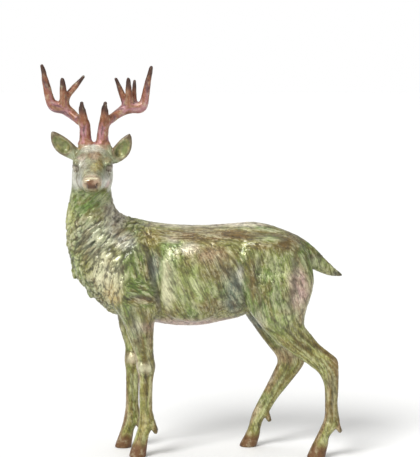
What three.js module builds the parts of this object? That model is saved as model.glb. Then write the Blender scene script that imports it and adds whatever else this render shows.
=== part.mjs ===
// A standing stag, cast in bronze as one piece. Millimetres, +Z up. The stag faces -X and
// turns its head to -Y. The form is a smooth field of lofts, chains and balls. It is turned
// into triangles, dressed with the locks of the mane and thinned to a light solid.
import * as THREE from "three";
import { triTable } from "three/addons/objects/MarchingCubes.js";

// Driving dimensions.
const CELL = 2.3; // of the grid on which the form is worked out
const LOW = new THREE.Vector3(-228, -104, -9);
const HIGH = new THREE.Vector3(184, 64, 512);
const TRIANGLES = 9900; // of the finished solid
const BEAD_STEPS = 3; // between two beads of a chain, to round its bends
const FAR_AWAY = 1e3;
const SNAP = 0.03; // how near a vertex may come to either end of its grid edge, in cells
const SQUARENESS = 2.2; // of the lofted sections, where 2 is an ellipse

// The trunk is read from chest to rump: [x, top, bottom, half width, y].
const TRUNK = [
  [-158, 262, 232, 10, 0],
  [-146, 284, 208, 23, 0],
  [-126, 299, 188, 33, 0],
  [-104, 303, 176, 38, 0],
  [-80, 299.5, 172, 40.5, 0],
  [-58, 296.5, 168, 42, 0],
  [-35, 295, 166, 43, 0],
  [-8, 294.5, 167, 43, 0],
  [18, 296, 172.5, 41, 0],
  [38, 297.5, 177, 38, 0],
  [56, 298.5, 186, 36, 0],
  [76, 295, 196, 35, 0],
  [96, 288, 206, 32, 0],
  [112, 280.5, 216, 26, 0],
  [124, 270, 230, 16, 0],
];
// The neck and the legs are read upwards: [z, front, back, half width, y].
const NECK = [
  [189, -127, -112, 12, 0],
  [202, -142.5, -104, 22, 0],
  [220, -162, -98, 31, 0],
  [240, -173.5, -96, 35, 0],
  [262, -180, -98, 34.5, -1],
  [282, -181.4, -104, 31.5, -2],
  [300, -182, -113.5, 28, -3],
  [318, -180, -121.5, 25, -5],
  [336, -176.5, -125.5, 23, -7],
  [356, -174, -127, 21, -9],
  [376, -168, -131, 17, -9],
  [388, -160, -138, 10, -8],
];
const NEAR_FORELEG = [
  [252, -132, -98, 18, -18],
  [236, -134, -84, 21, -20],
  [220, -131, -74, 22, -24],
  [205, -125, -66, 20.5, -27],
  [190, -117, -66, 18.5, -29],
  [175, -110, -70, 15.6, -29.5],
  [160, -105, -71.3, 13, -29],
  [145, -99.5, -71.5, 11, -28],
  [133, -95, -71.4, 9.6, -27.4],
  [124, -92.8, -71, 9.4, -27],
  [116, -92, -70.8, 9.3, -27],
  [108, -90.6, -71.4, 8.2, -27],
  [98, -90, -72.4, 7.3, -27],
  [80, -90, -73.2, 6.9, -27],
  [60, -89.8, -73, 7.1, -27],
  [48, -90.4, -70.8, 8.6, -27],
  [40, -91.4, -71, 9, -27],
  [30, -94, -77, 7.8, -27],
  [20, -97.4, -79, 8.8, -27],
  [10, -101, -80.4, 10.2, -27],
  [0, -103.6, -81.4, 11, -27],
  [-12, -106, -82, 11.4, -27],
];
const FAR_FORELEG = [
  [252, -132, -98, 18, 18],
  [236, -134, -84, 21, 20],
  [220, -131, -76, 22, 24],
  [205, -126, -74, 20.5, 27],
  [190, -122, -78, 18.5, 29],
  [175, -120, -82, 15.6, 29],
  [160, -118, -86, 13, 28.5],
  [147, -114.2, -88, 11.2, 27.3],
  [135, -110.6, -89.4, 9.6, 26.2],
  [125, -109.9, -89.6, 9.4, 25.5],
  [114, -109.8, -90, 9.2, 25],
  [104, -109.6, -91, 8, 25],
  [94, -109.4, -92.2, 7.2, 25],
  [76, -109.6, -93, 6.8, 25],
  [56, -110, -93, 7, 25],
  [43, -111.6, -91.4, 8.6, 25],
  [34, -113.4, -92.4, 8.8, 25],
  [25, -116, -98.6, 7.8, 25],
  [15, -119.6, -100.6, 9.2, 25],
  [7, -122.8, -101.8, 10.4, 25],
  [0, -125, -102.6, 11, 25],
  [-12, -128, -103, 11.4, 25],
];
const NEAR_HINDLEG = [
  [258, 66, 122, 17, -18],
  [244, 57, 128, 20, -21],
  [230, 51, 131.6, 22, -25],
  [215, 49, 130, 22.5, -28],
  [198, 50, 124.6, 21, -31],
  [184, 55, 120.5, 18.8, -33],
  [170, 65, 120, 16.5, -34],
  [158, 75.5, 129, 14, -34],
  [147, 87, 138, 12, -34],
  [136, 102, 151.5, 10, -34],
  [128, 114, 161, 8.8, -34],
  [120, 125.5, 163.4, 8.2, -34],
  [110, 138, 163.8, 7.7, -34],
  [98, 144.4, 164, 7.3, -34],
  [86, 146.4, 163.8, 7.1, -34],
  [70, 146.8, 163, 7.2, -34],
  [56, 146.6, 164.2, 8, -34],
  [46, 144.6, 165.4, 9.4, -34],
  [38, 141, 161, 9, -34],
  [28, 136.4, 153, 8, -34],
  [18, 131.2, 151.2, 9, -34],
  [8, 126.6, 149, 10.3, -34],
  [0, 123.4, 147, 11, -34],
  [-12, 119, 145, 11.4, -34],
];
const FAR_HINDLEG = [
  [258, 62, 120, 17, 18],
  [244, 52, 126, 20, 21],
  [230, 45, 126, 22, 24],
  [215, 40.5, 121, 22.5, 27],
  [198, 38, 112, 21, 29],
  [184, 41.5, 104, 18.5, 30],
  [172, 49, 100.5, 16, 30],
  [158, 58.6, 103, 13.6, 30],
  [144, 68.4, 109, 11.6, 30],
  [130, 79.6, 118, 9.8, 30],
  [120, 87, 123.4, 8.8, 30],
  [112, 88.6, 124, 8.4, 30],
  [104, 85.6, 120, 8, 30],
  [90, 79, 109.6, 7.4, 30],
  [76, 72, 98.4, 7.2, 30],
  [62, 64.8, 87.6, 7.2, 30],
  [52, 59.8, 81.4, 8, 30],
  [44, 56, 77, 9.2, 30],
  [36, 53.6, 71, 8.8, 30],
  [26, 51, 67.4, 8, 30],
  [14, 45.6, 65.6, 9.4, 30],
  [6, 41.2, 63.4, 10.4, 30],
  [0, 38.6, 61.6, 11, 30],
  [-12, 34, 59, 11.4, 30],
];
// A chain is a row of beads, tapered from one to the next: [x, y, z, radius].
const TAIL = [
  [108, 0, 268, 12],
  [121, 0, 260.5, 12.6],
  [133, 0, 250.5, 11.4],
  [145, 0, 242, 8.6],
  [157, 0, 235, 5.4],
  [168.5, 0, 230.4, 1.4],
];
const NEAR_ANTLER = {
  beam: [
    [-136.4, -6, 396, 8.8],
    [-135.4, -7, 414, 7.1],
    [-133, -7, 425, 6.2],
    [-124.8, -3, 431, 5.6],
    [-116.4, 2, 437.4, 5.8],
    [-108.4, 6, 442, 6.7],
    [-98.4, 7, 444.8, 7.6],
    [-88.8, 6, 445, 7.4],
    [-83.6, 5, 451, 6],
    [-80.4, 2, 468, 4.6],
    [-76.8, -2, 485, 3.5],
    [-73.8, -5, 495.4, 2.5],
  ],
  tines: [
    [[-133.4, -8, 424, 6.2], [-132.4, -14, 440, 4.6], [-131.6, -19.5, 450.6, 2.6]],
    [[-106.4, 7, 446, 4.8], [-112.4, 6, 464, 3.6], [-119, 5, 480.6, 2.2]],
    [[-102.4, 5, 446, 5.4], [-102.8, 0, 467, 4], [-103, -5, 480.8, 2.4]],
    [[-97.4, 9, 446, 4.4], [-96.4, 11, 464, 3.1], [-95.8, 12, 478.4, 1.9]],
  ],
};
const FAR_ANTLER = {
  beam: [
    [-157.4, -6, 396, 8.8],
    [-157.8, -7, 414, 7.2],
    [-158.8, -7, 425, 6.2],
    [-165.4, -3, 428.4, 5.7],
    [-171.8, 2, 433, 5.9],
    [-179.1, 6, 439.2, 6.9],
    [-186.2, 7, 444, 7.8],
    [-196, 6, 446, 7.8],
    [-202, 5, 451, 6.4],
    [-206.8, 2, 470, 5],
    [-209.8, -2, 485.5, 3.8],
    [-212, -5, 497.4, 2.5],
  ],
  tines: [
    [[-159.2, -8, 424, 6.2], [-160.6, -14, 440, 4.6], [-161.2, -19.5, 450.6, 2.6]],
    [[-184.4, 7, 450, 4.6], [-179.8, 6, 461, 3.9], [-170, 6, 472.6, 3.5], [-160.8, 5, 483.4, 2.2]],
    [[-185.6, 5, 446, 5.8], [-186, 0, 467.6, 4.4], [-186.5, -5, 480.4, 2.6]],
    [[-187.8, 9, 446, 4.6], [-187.4, 13, 462, 3.4], [-186.8, 15, 473, 2.2]],
  ],
};
// The ears are leaves: chains that are thin from front to back.
const NEAR_EAR = [
  [-130, -8, 391, 7.6],
  [-123.2, -8, 381.6, 7.8],
  [-113.2, -9, 389.2, 10.5],
  [-107.8, -10, 397, 9.4],
  [-103.6, -11, 405.6, 5.3],
  [-101.6, -11.6, 410.6, 1.9],
];
const FAR_EAR = [
  [-171.2, -8, 386, 8.2],
  [-183.8, -9, 395, 10.7],
  [-190.8, -10, 401.6, 9.5],
  [-196.2, -11, 409.4, 5.3],
  [-198.8, -11.6, 413.6, 1.9],
];
const EAR_THINNESS = 0.55;
const TAIL_THINNESS = 0.85;

// The head has its own axes: forward along the muzzle, sideways and up, from between the eyes.
const HEAD_AT = new THREE.Vector3(-147, -30, 371);
const HEAD_PITCH = 15.5;
const HEAD_YAW = -87;
const SKULL = [
  [-44, 8, -14, 10, 0],
  [-36, 17, -24, 18, 0],
  [-26, 21, -30, 22.5, 0],
  [-13, 20, -34, 25, 0],
  [0, 16, -33, 24.4, 0],
  [14, 12, -29, 19.5, 0],
  [28, 9.4, -23.5, 15.4, 0],
  [42, 8, -18, 13.2, 0],
  [53, 6.6, -15.4, 12, 0],
  [61, 3.4, -12.4, 9.2, 0],
  [65, -1, -8.5, 4.5, 0],
];
// What is added to the head (fill) or taken from it (cut), on its own axes. Where the sideways
// place isn't zero, both sides have one.
const HEAD_FORMS = [
  { name: "cheek", fill: true, at: [-7, 17, -20], radii: [17, 8.5, 13], blend: 6 },
  { name: "brow", fill: true, at: [1, 20, 8], radii: [11, 4.8, 4.4], blend: 5 },
  { name: "tear line", fill: false, at: [17, 20.6, -2], radii: [10, 4.4, 6], blend: 6 },
  { name: "eye", fill: true, at: [4, 21.2, 2], radii: [7, 4.6, 5], blend: 1.5 },
  { name: "nose pad", fill: true, at: [59, 0, 0.4], radii: [6.5, 11, 6.8], blend: 3 },
  { name: "nostril", fill: false, at: [62, 7, 0], radii: [4.5, 2.4, 2.8], blend: 1.5 },
  { name: "mouth", fill: false, at: [56, 0, -9.6], radii: [10, 13, 0.9], blend: 1 },
];
// The muscles and hollows of the body, on both sides. Lean turns one about y, in degrees.
const BODY_FORMS = [
  { name: "shoulder", fill: true, at: [-104, 24, 236], radii: [26, 17, 44], lean: -24, blend: 14 },
  { name: "elbow", fill: true, at: [-76, 34, 203], radii: [9, 7, 14], lean: -20, blend: 9 },
  { name: "haunch", fill: true, at: [86, 22, 242], radii: [39, 17, 38], lean: 20, blend: 14 },
  { name: "hip bone", fill: true, at: [66, 31, 270], radii: [17, 5, 5.5], lean: -12, blend: 8 },
  { name: "rim of the haunch", fill: true, at: [51, 36, 226], radii: [8, 6, 36], lean: 6, blend: 10 },
  { name: "ribs", fill: true, at: [-22, 33, 222], radii: [42, 13, 46], lean: 0, blend: 12 },
  { name: "behind the shoulder", fill: false, at: [-66, 50, 236], radii: [8, 10, 40], lean: -12, blend: 10 },
  { name: "flank", fill: false, at: [30, 50, 216], radii: [12, 11, 38], lean: 14, blend: 12 },
];
const SIDES = [-1, 1]; // the stag's left, then its right
// Each foot: its middle, the height of its dewclaws and how far back they reach.
const FEET = [
  { x: -92, y: -27, clawHeight: 36, heel: -69 },
  { x: -113, y: 25, clawHeight: 30, heel: -91 },
  { x: 136, y: -34, clawHeight: 39, heel: 165.5 },
  { x: 51, y: 30, clawHeight: 39, heel: 78 },
];
const CLAW = { spread: 5, root: 4.4, tip: 3, length: 5, drop: 11 };
const CLEFT = { ahead: 22, low: -6, width: 2.6, back: 11, high: 15, end: 1.4 };
const BURR = { lift: 3, radii: [10, 9.5, 4.5] };
const EAR_HOLLOW = { forward: 5, rim: 3.4, least: 0.6, thinness: 0.9 };
// The free tips of the locks that show against the ground, below the chest, and their shape.
const CHEST_TIPS = [
  [-172, 0, 226.5],
  [-152, -7, 203.5],
  [-150, 9, 206],
  [-140, -15, 200.5],
  [-138, 12, 199],
  [-127, -3, 190],
];
const CHEST_LOCK = { rootBack: 14, rootUp: 26, rootRadius: 12, bendBack: 3, bendUp: 9, bendRadius: 6.5 };
// How softly each part runs into what it joins.
const BLEND = {
  neck: 20,
  tail: 6,
  leg: 9,
  claw: 2,
  cleft: 1.5,
  skull: 8,
  ear: 4,
  antler: 3,
  tine: 3.5,
  lock: 5,
};

// The locks of the mane, which is laid round an upright post through the neck.
const LOCK = { length: 29, width: 12, height: 3.5, rowPitch: 13, columnPitch: 10 };
const SUNK = 0.4; // of a lock's height, by which the mane as a whole is set in
const POST = { x: -138, radius: 34, top: 400, front: 30 };
// The locks lean forward as they hang: a little on the chest, more on the neck above it.
const LEAN_LOW = Math.tan(THREE.MathUtils.degToRad(14));
const LEAN_HIGH = Math.tan(THREE.MathUtils.degToRad(40));
const LEAN_FROM = 225;

const clamp = THREE.MathUtils.clamp;
const mix = THREE.MathUtils.lerp;
const smoothstep = THREE.MathUtils.smoothstep;

// The lesser of two distances, rounded over where they differ by less than blend.
function smoothMin(a, b, blend) {
  const h = Math.max(blend - Math.abs(a - b), 0) / blend;
  return Math.min(a, b) - (h * h * blend) / 4;
}

// Signed distances on a grid, negative inside.
class Field {
  constructor() {
    this.counts = ["x", "y", "z"].map((k) => Math.ceil((HIGH[k] - LOW[k]) / CELL) + 1);
    this.values = new Float32Array(this.counts[0] * this.counts[1] * this.counts[2]).fill(100);
  }

  edit(box, change) {
    const [nx, ny] = this.counts;
    const spans = ["x", "y", "z"].map((k, n) => [
      clamp(Math.floor((box.min[k] - LOW[k]) / CELL), 0, this.counts[n] - 1),
      clamp(Math.ceil((box.max[k] - LOW[k]) / CELL), 0, this.counts[n] - 1),
    ]);
    for (let k = spans[2][0]; k <= spans[2][1]; k++)
      for (let j = spans[1][0]; j <= spans[1][1]; j++)
        for (let i = spans[0][0]; i <= spans[0][1]; i++) {
          const q = i + nx * (j + ny * k);
          const old = this.values[q];
          this.values[q] = change(old, LOW.x + i * CELL, LOW.y + j * CELL, LOW.z + k * CELL);
        }
  }

  add(shape, blend) {
    this.edit(shape.box.clone().expandByScalar(blend + 4 * CELL), (old, x, y, z) =>
      smoothMin(old, shape.distance(x, y, z), blend),
    );
  }

  cut(shape, blend) {
    this.edit(shape.box.clone().expandByScalar(blend + 4 * CELL), (old, x, y, z) =>
      -smoothMin(-old, shape.distance(x, y, z), blend),
    );
  }
}

// Reads a table of sections at one place, along smooth curves through its rows.
function sectionReader(rows) {
  const sorted = [...rows].sort((a, b) => a[0] - b[0]);
  const slope = (n, column) => {
    const before = sorted[Math.max(n - 1, 0)];
    const after = sorted[Math.min(n + 1, sorted.length - 1)];
    return (after[column] - before[column]) / (after[0] - before[0]);
  };
  const known = new Map();
  return (at) => {
    const kept = known.get(at);
    if (kept) return kept;
    const place = clamp(at, sorted[0][0], sorted[sorted.length - 1][0]);
    let n = 0;
    while (n < sorted.length - 2 && place > sorted[n + 1][0]) n++;
    const span = sorted[n + 1][0] - sorted[n][0];
    const t = (place - sorted[n][0]) / span;
    const section = [1, 2, 3, 4].map((column) => {
      const a = sorted[n][column];
      const b = sorted[n + 1][column];
      const leave = slope(n, column) * span;
      const arrive = slope(n + 1, column) * span;
      const bend = (2 * a - 2 * b + leave + arrive) * t ** 3;
      return bend + (3 * b - 3 * a - 2 * leave - arrive) * t ** 2 + leave * t + a;
    });
    section.push(Math.abs(at - place));
    known.set(at, section);
    return section;
  };
}

// How far a point is outside an oval section, with u and v in half axes.
function ovalDistance(u, v, halfU, halfV) {
  const size = (u ** SQUARENESS + v ** SQUARENESS) ** (1 / SQUARENESS);
  if (size < 1e-3) return -Math.min(halfU, halfV);
  const fallU = (u / size) ** (SQUARENESS - 1) / halfU;
  const fallV = (v / size) ** (SQUARENESS - 1) / halfV;
  return (size - 1) / Math.hypot(fallU, fallV);
}

// A body lofted through its rows, along x or up z.
function loft(rows, axis) {
  const read = sectionReader(rows);
  const column = (k) => rows.map((row) => row[k]);
  const [low, high] = [Math.min(...column(1), ...column(2)), Math.max(...column(1), ...column(2))];
  const [start, end] = [Math.min(...column(0)), Math.max(...column(0))];
  const width = Math.max(...rows.map((row) => row[3] + Math.abs(row[4])));
  const box = new THREE.Box3(
    new THREE.Vector3(axis === "x" ? start : low, -width, axis === "x" ? low : start),
    new THREE.Vector3(axis === "x" ? end : high, width, axis === "x" ? high : end),
  );
  const distance = (x, y, z) => {
    const [a, b, half, middle, beyond] = read(axis === "x" ? x : z);
    const across = axis === "x" ? z : x;
    const reach = Math.abs(a - b) / 2;
    const u = Math.abs(across - (a + b) / 2) / reach;
    const v = Math.abs(y - middle) / half;
    const inPlane = ovalDistance(u, v, reach, half);
    return beyond > 0 ? Math.hypot(Math.max(inPlane, 0), beyond) + Math.min(inPlane, 0) / 8 : inPlane;
  };
  return { box, distance };
}

// The same beads with more between them, along a smooth curve through them all.
function curved(beads) {
  const bead = (n) => beads[clamp(n, 0, beads.length - 1)];
  const finer = [beads[0]];
  for (let n = 0; n + 1 < beads.length; n++)
    for (let step = 1; step <= BEAD_STEPS; step++) {
      const t = step / BEAD_STEPS;
      const point = bead(n).map((b, k) => {
        const [a, c, d] = [bead(n - 1)[k], bead(n + 1)[k], bead(n + 2)[k]];
        const bend = (3 * b - a - 3 * c + d) * t + (2 * a - 5 * b + 4 * c - d);
        return b + (t / 2) * (c - a + t * bend);
      });
      finer.push(point);
    }
  return finer;
}

// A row of tapered beads. Thinness is their depth along y over their radius.
function chain(coarse, thinness = 1) {
  const beads = curved(coarse);
  const box = new THREE.Box3();
  for (const [x, y, z, r] of beads) {
    box.expandByPoint(new THREE.Vector3(x - r, y - r, z - r));
    box.expandByPoint(new THREE.Vector3(x + r, y + r, z + r));
  }
  const distance = (x, y, z) => {
    let nearest = FAR_AWAY;
    for (let n = 0; n + 1 < beads.length; n++) {
      const [ax, ay, az, ar] = beads[n];
      const [bx, by, bz, br] = beads[n + 1];
      const along = (x - ax) * (bx - ax) + (y - ay) * (by - ay) + (z - az) * (bz - az);
      const t = clamp(along / ((bx - ax) ** 2 + (by - ay) ** 2 + (bz - az) ** 2), 0, 1);
      const radius = mix(ar, br, t);
      const u = Math.hypot(x - mix(ax, bx, t), z - mix(az, bz, t)) / radius;
      const v = Math.abs(y - mix(ay, by, t)) / (radius * thinness);
      const size = Math.hypot(u, v) + 1e-6;
      const fall = Math.hypot(u / size / radius, v / size / (radius * thinness));
      nearest = Math.min(nearest, (size - 1) / fall);
    }
    return nearest;
  };
  return { box, distance };
}

// An oval ball with three radii. Lean turns it about y, from x towards z.
function ball([x0, y0, z0], [rx, ry, rz], lean = 0) {
  const reach = new THREE.Vector3(rx, ry, rz).length();
  const centre = new THREE.Vector3(x0, y0, z0);
  const box = new THREE.Box3(centre.clone().subScalar(reach), centre.clone().addScalar(reach));
  const [c, s] = [Math.cos(THREE.MathUtils.degToRad(lean)), Math.sin(THREE.MathUtils.degToRad(lean))];
  const distance = (x, y, z) => {
    const u = ((x - x0) * c + (z - z0) * s) / rx;
    const v = (y - y0) / ry;
    const w = ((z - z0) * c - (x - x0) * s) / rz;
    const size = Math.hypot(u, v, w) + 1e-6;
    const fall = Math.hypot(u / rx, v / ry, w / rz) / size;
    return (size - 1) / fall;
  };
  return { box, distance };
}

// The same shape, moved from its own axes to where a matrix puts them.
function placed(shape, matrix) {
  const back = matrix.clone().invert();
  const point = new THREE.Vector3();
  const distance = (x, y, z) => {
    point.set(x, y, z).applyMatrix4(back);
    return shape.distance(point.x, point.y, point.z);
  };
  return { box: shape.box.clone().applyMatrix4(matrix), distance };
}

function headMatrix() {
  const yaw = new THREE.Matrix4().makeRotationZ(THREE.MathUtils.degToRad(HEAD_YAW));
  const pitch = new THREE.Matrix4().makeRotationY(THREE.MathUtils.degToRad(HEAD_PITCH));
  return yaw.multiply(pitch).setPosition(HEAD_AT);
}

function shapeForms(field, forms, matrix) {
  for (const { fill, at, radii, lean, blend } of forms) {
    for (const side of at[1] === 0 ? [1] : SIDES) {
      const shape = placed(ball([at[0], side * at[1], at[2]], radii, lean), matrix);
      if (fill) field.add(shape, blend);
      else field.cut(shape, blend);
    }
  }
}

function addBody(field) {
  field.add(loft(TRUNK, "x"), 1);
  field.add(loft(NECK, "z"), BLEND.neck);
  field.add(chain(TAIL, TAIL_THINNESS), BLEND.tail);
  shapeForms(field, BODY_FORMS, new THREE.Matrix4());
  for (const leg of [FAR_FORELEG, NEAR_FORELEG, FAR_HINDLEG, NEAR_HINDLEG]) {
    field.add(loft(leg, "z"), BLEND.leg);
  }
}

function shapeFeet(field) {
  for (const { x, y, clawHeight, heel } of FEET) {
    for (const side of SIDES) {
      const across = y + side * CLAW.spread;
      const root = [heel - CLAW.length, across, clawHeight - 3 + CLAW.drop, CLAW.root];
      field.add(chain([root, [heel, across, clawHeight - 3, CLAW.tip]]), BLEND.claw);
    }
    const toe = [x - CLEFT.ahead, y, CLEFT.low, CLEFT.width];
    field.cut(chain([toe, [x - CLEFT.back, y, CLEFT.high, CLEFT.end]]), BLEND.cleft);
  }
}

function addHead(field) {
  const matrix = headMatrix();
  field.add(placed(loft(SKULL, "x"), matrix), BLEND.skull);
  shapeForms(field, HEAD_FORMS, matrix);
  for (const ear of [NEAR_EAR, FAR_EAR]) {
    field.add(chain(ear, EAR_THINNESS), BLEND.ear);
    const hollow = ear.slice(-5).map(([x, y, z, r]) => {
      return [x, y - EAR_HOLLOW.forward, z, Math.max(r - EAR_HOLLOW.rim, EAR_HOLLOW.least)];
    });
    field.cut(chain(hollow.slice(1), EAR_HOLLOW.thinness), BLEND.claw);
  }
}

function addAntlers(field) {
  for (const antler of [NEAR_ANTLER, FAR_ANTLER]) {
    const [x, y, z] = antler.beam[0];
    field.add(ball([x, y, z + BURR.lift], BURR.radii), BLEND.tine);
    field.add(chain(antler.beam), BLEND.antler);
    for (const tine of antler.tines) field.add(chain(tine), BLEND.tine);
  }
}

function addChestLocks(field) {
  for (const [x, y, z] of CHEST_TIPS) {
    const root = [x + CHEST_LOCK.rootBack, y, z + CHEST_LOCK.rootUp, CHEST_LOCK.rootRadius];
    const bend = [x + CHEST_LOCK.bendBack, y, z + CHEST_LOCK.bendUp, CHEST_LOCK.bendRadius];
    field.add(chain([root, bend, [x, y, z, 1]]), BLEND.lock);
  }
}

// Turns the field into triangles, with one vertex on every grid edge that it crosses.
function polygonise(field) {
  const [nx, ny, nz] = field.counts;
  const square = [[0, 0], [1, 0], [1, 1], [0, 1]];
  const corners = [0, 1].flatMap((up) => square.map(([i, j]) => [i, j, up]));
  const flatEdges = [[0, 1], [1, 2], [3, 2], [0, 3]];
  const upright = square.map((_, n) => [n, n + 4]);
  const edges = [...flatEdges, ...flatEdges.map(([a, b]) => [a + 4, b + 4]), ...upright];
  const steps = corners.map(([i, j, k]) => i + nx * (j + ny * k));
  const positions = [];
  const known = new Map();
  const vertexOn = (q, edge) => {
    const [a, b] = edges[edge];
    const axis = corners[a].findIndex((v, n) => v !== corners[b][n]);
    const key = (q + steps[a]) * 3 + axis;
    if (known.has(key)) return known.get(key);
    const from = field.values[q + steps[a]];
    const to = field.values[q + steps[b]];
    const t = clamp(from / (from - to), SNAP, 1 - SNAP);
    const at = q + steps[a];
    const grid = [at % nx, Math.floor(at / nx) % ny, Math.floor(at / (nx * ny))];
    grid[axis] += t;
    positions.push([LOW.x + grid[0] * CELL, LOW.y + grid[1] * CELL, LOW.z + grid[2] * CELL]);
    known.set(key, positions.length - 1);
    return positions.length - 1;
  };
  const faces = [];
  for (let k = 0; k + 1 < nz; k++)
    for (let j = 0; j + 1 < ny; j++)
      for (let i = 0; i + 1 < nx; i++) {
        const q = i + nx * (j + ny * k);
        let signs = 0;
        for (let c = 0; c < 8; c++) if (field.values[q + steps[c]] > 0) signs |= 1 << c;
        if (signs === 0 || signs === 255) continue;
        for (let n = signs * 16; triTable[n] !== -1; n += 3) {
          faces.push([vertexOn(q, triTable[n]), vertexOn(q, triTable[n + 1]), vertexOn(q, triTable[n + 2])]);
        }
      }
  return { positions, faces };
}

// The outer skin alone: the largest piece of the mesh that hangs together.
function outerSkin({ positions, faces }) {
  const parent = positions.map((_, n) => n);
  const root = (v) => {
    while (parent[v] !== v) {
      parent[v] = parent[parent[v]];
      v = parent[v];
    }
    return v;
  };
  for (const [a, b, c] of faces) {
    parent[root(b)] = root(a);
    parent[root(c)] = root(a);
  }
  const sizes = new Map();
  for (const [a] of faces) sizes.set(root(a), (sizes.get(root(a)) ?? 0) + 1);
  const [largest] = [...sizes].sort((a, b) => b[1] - a[1])[0];
  return { positions, faces: faces.filter(([a]) => root(a) === largest) };
}

function cross(a, b, c) {
  const u = [b[0] - a[0], b[1] - a[1], b[2] - a[2]];
  const v = [c[0] - a[0], c[1] - a[1], c[2] - a[2]];
  return [u[1] * v[2] - u[2] * v[1], u[2] * v[0] - u[0] * v[2], u[0] * v[1] - u[1] * v[0]];
}

function vertexNormals({ positions, faces }) {
  const normals = positions.map(() => [0, 0, 0]);
  for (const face of faces) {
    const n = cross(...face.map((v) => positions[v]));
    for (const v of face) for (let k = 0; k < 3; k++) normals[v][k] += n[k];
  }
  return normals.map((n) => n.map((v) => v / (Math.hypot(...n) || 1)));
}

// A repeatable scatter between 0 and 1 for one place in a pattern.
function scatter(i, j, salt) {
  const s = Math.sin(i * 127.1 + j * 311.7 + salt * 74.7) * 43758.5453;
  return s - Math.floor(s);
}

// How far the locks stand out at one point: rows of pointed tongues, each lying on the next.
function lockHeight(across, along) {
  let best = 0;
  const row = Math.floor(along / LOCK.rowPitch);
  for (let i = row - 3; i <= row + 1; i++) {
    const column = Math.round(across / LOCK.columnPitch - (i % 2) / 2);
    for (let j = column - 1; j <= column + 1; j++) {
      const middle = (j + (i % 2) / 2 + (scatter(i, j, 1) - 0.5) * 0.5) * LOCK.columnPitch;
      const start = (i + (scatter(i, j, 2) - 0.5) * 0.6) * LOCK.rowPitch;
      const v = (along - start) / LOCK.length;
      if (v <= 0 || v >= 1) continue;
      const half = (LOCK.width / 2) * Math.min(1, (1 - v) * 1.8) ** 0.8;
      const u = Math.abs(across - middle) / half;
      if (u >= 1) continue;
      const lift = (0.25 + 0.75 * v) * (1 - smoothstep(v, 0.84, 1));
      best = Math.max(best, LOCK.height * lift * (1 - u * u));
    }
  }
  return best;
}

// Where the mane is: 1 on the neck and chest, fading over the shoulder, the throat and the legs.
function maneShare([x, y, z]) {
  const back = smoothstep(-x + 0.35 * (z - 250), 92, 112);
  const low = smoothstep(z + 0.5 * x, 108, 122);
  const high = 1 - smoothstep(z, 338, 352);
  return back * low * high;
}

// How far a lock that starts at height z has moved round the neck by the lower chest.
function leanShift(z) {
  return LEAN_LOW * (z - LEAN_FROM) + (LEAN_HIGH - LEAN_LOW) * Math.max(z - LEAN_FROM, 0);
}

function dressMane(mesh) {
  const normals = vertexNormals(mesh);
  mesh.positions.forEach((p, n) => {
    const share = maneShare(p);
    if (share === 0) return;
    const [x, y, z] = p;
    const around = Math.atan2(y, POST.x - x) * POST.radius;
    const lean = Math.sign(around) * Math.min(Math.abs(around) / POST.front, 1);
    const across = around - lean * leanShift(z);
    const out = share * (lockHeight(across, POST.top - z) - LOCK.height * SUNK);
    for (let k = 0; k < 3; k++) p[k] += normals[n][k] * out;
  });
}

// What the thinning keeps to: how slim a face may be, how far it may turn, as a cosine, and how
// much it prefers short edges.
const SLIMMEST = 0.06;
const MOST_TURN = 0.3;
const SHORT_FIRST = 1e-3;

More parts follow.
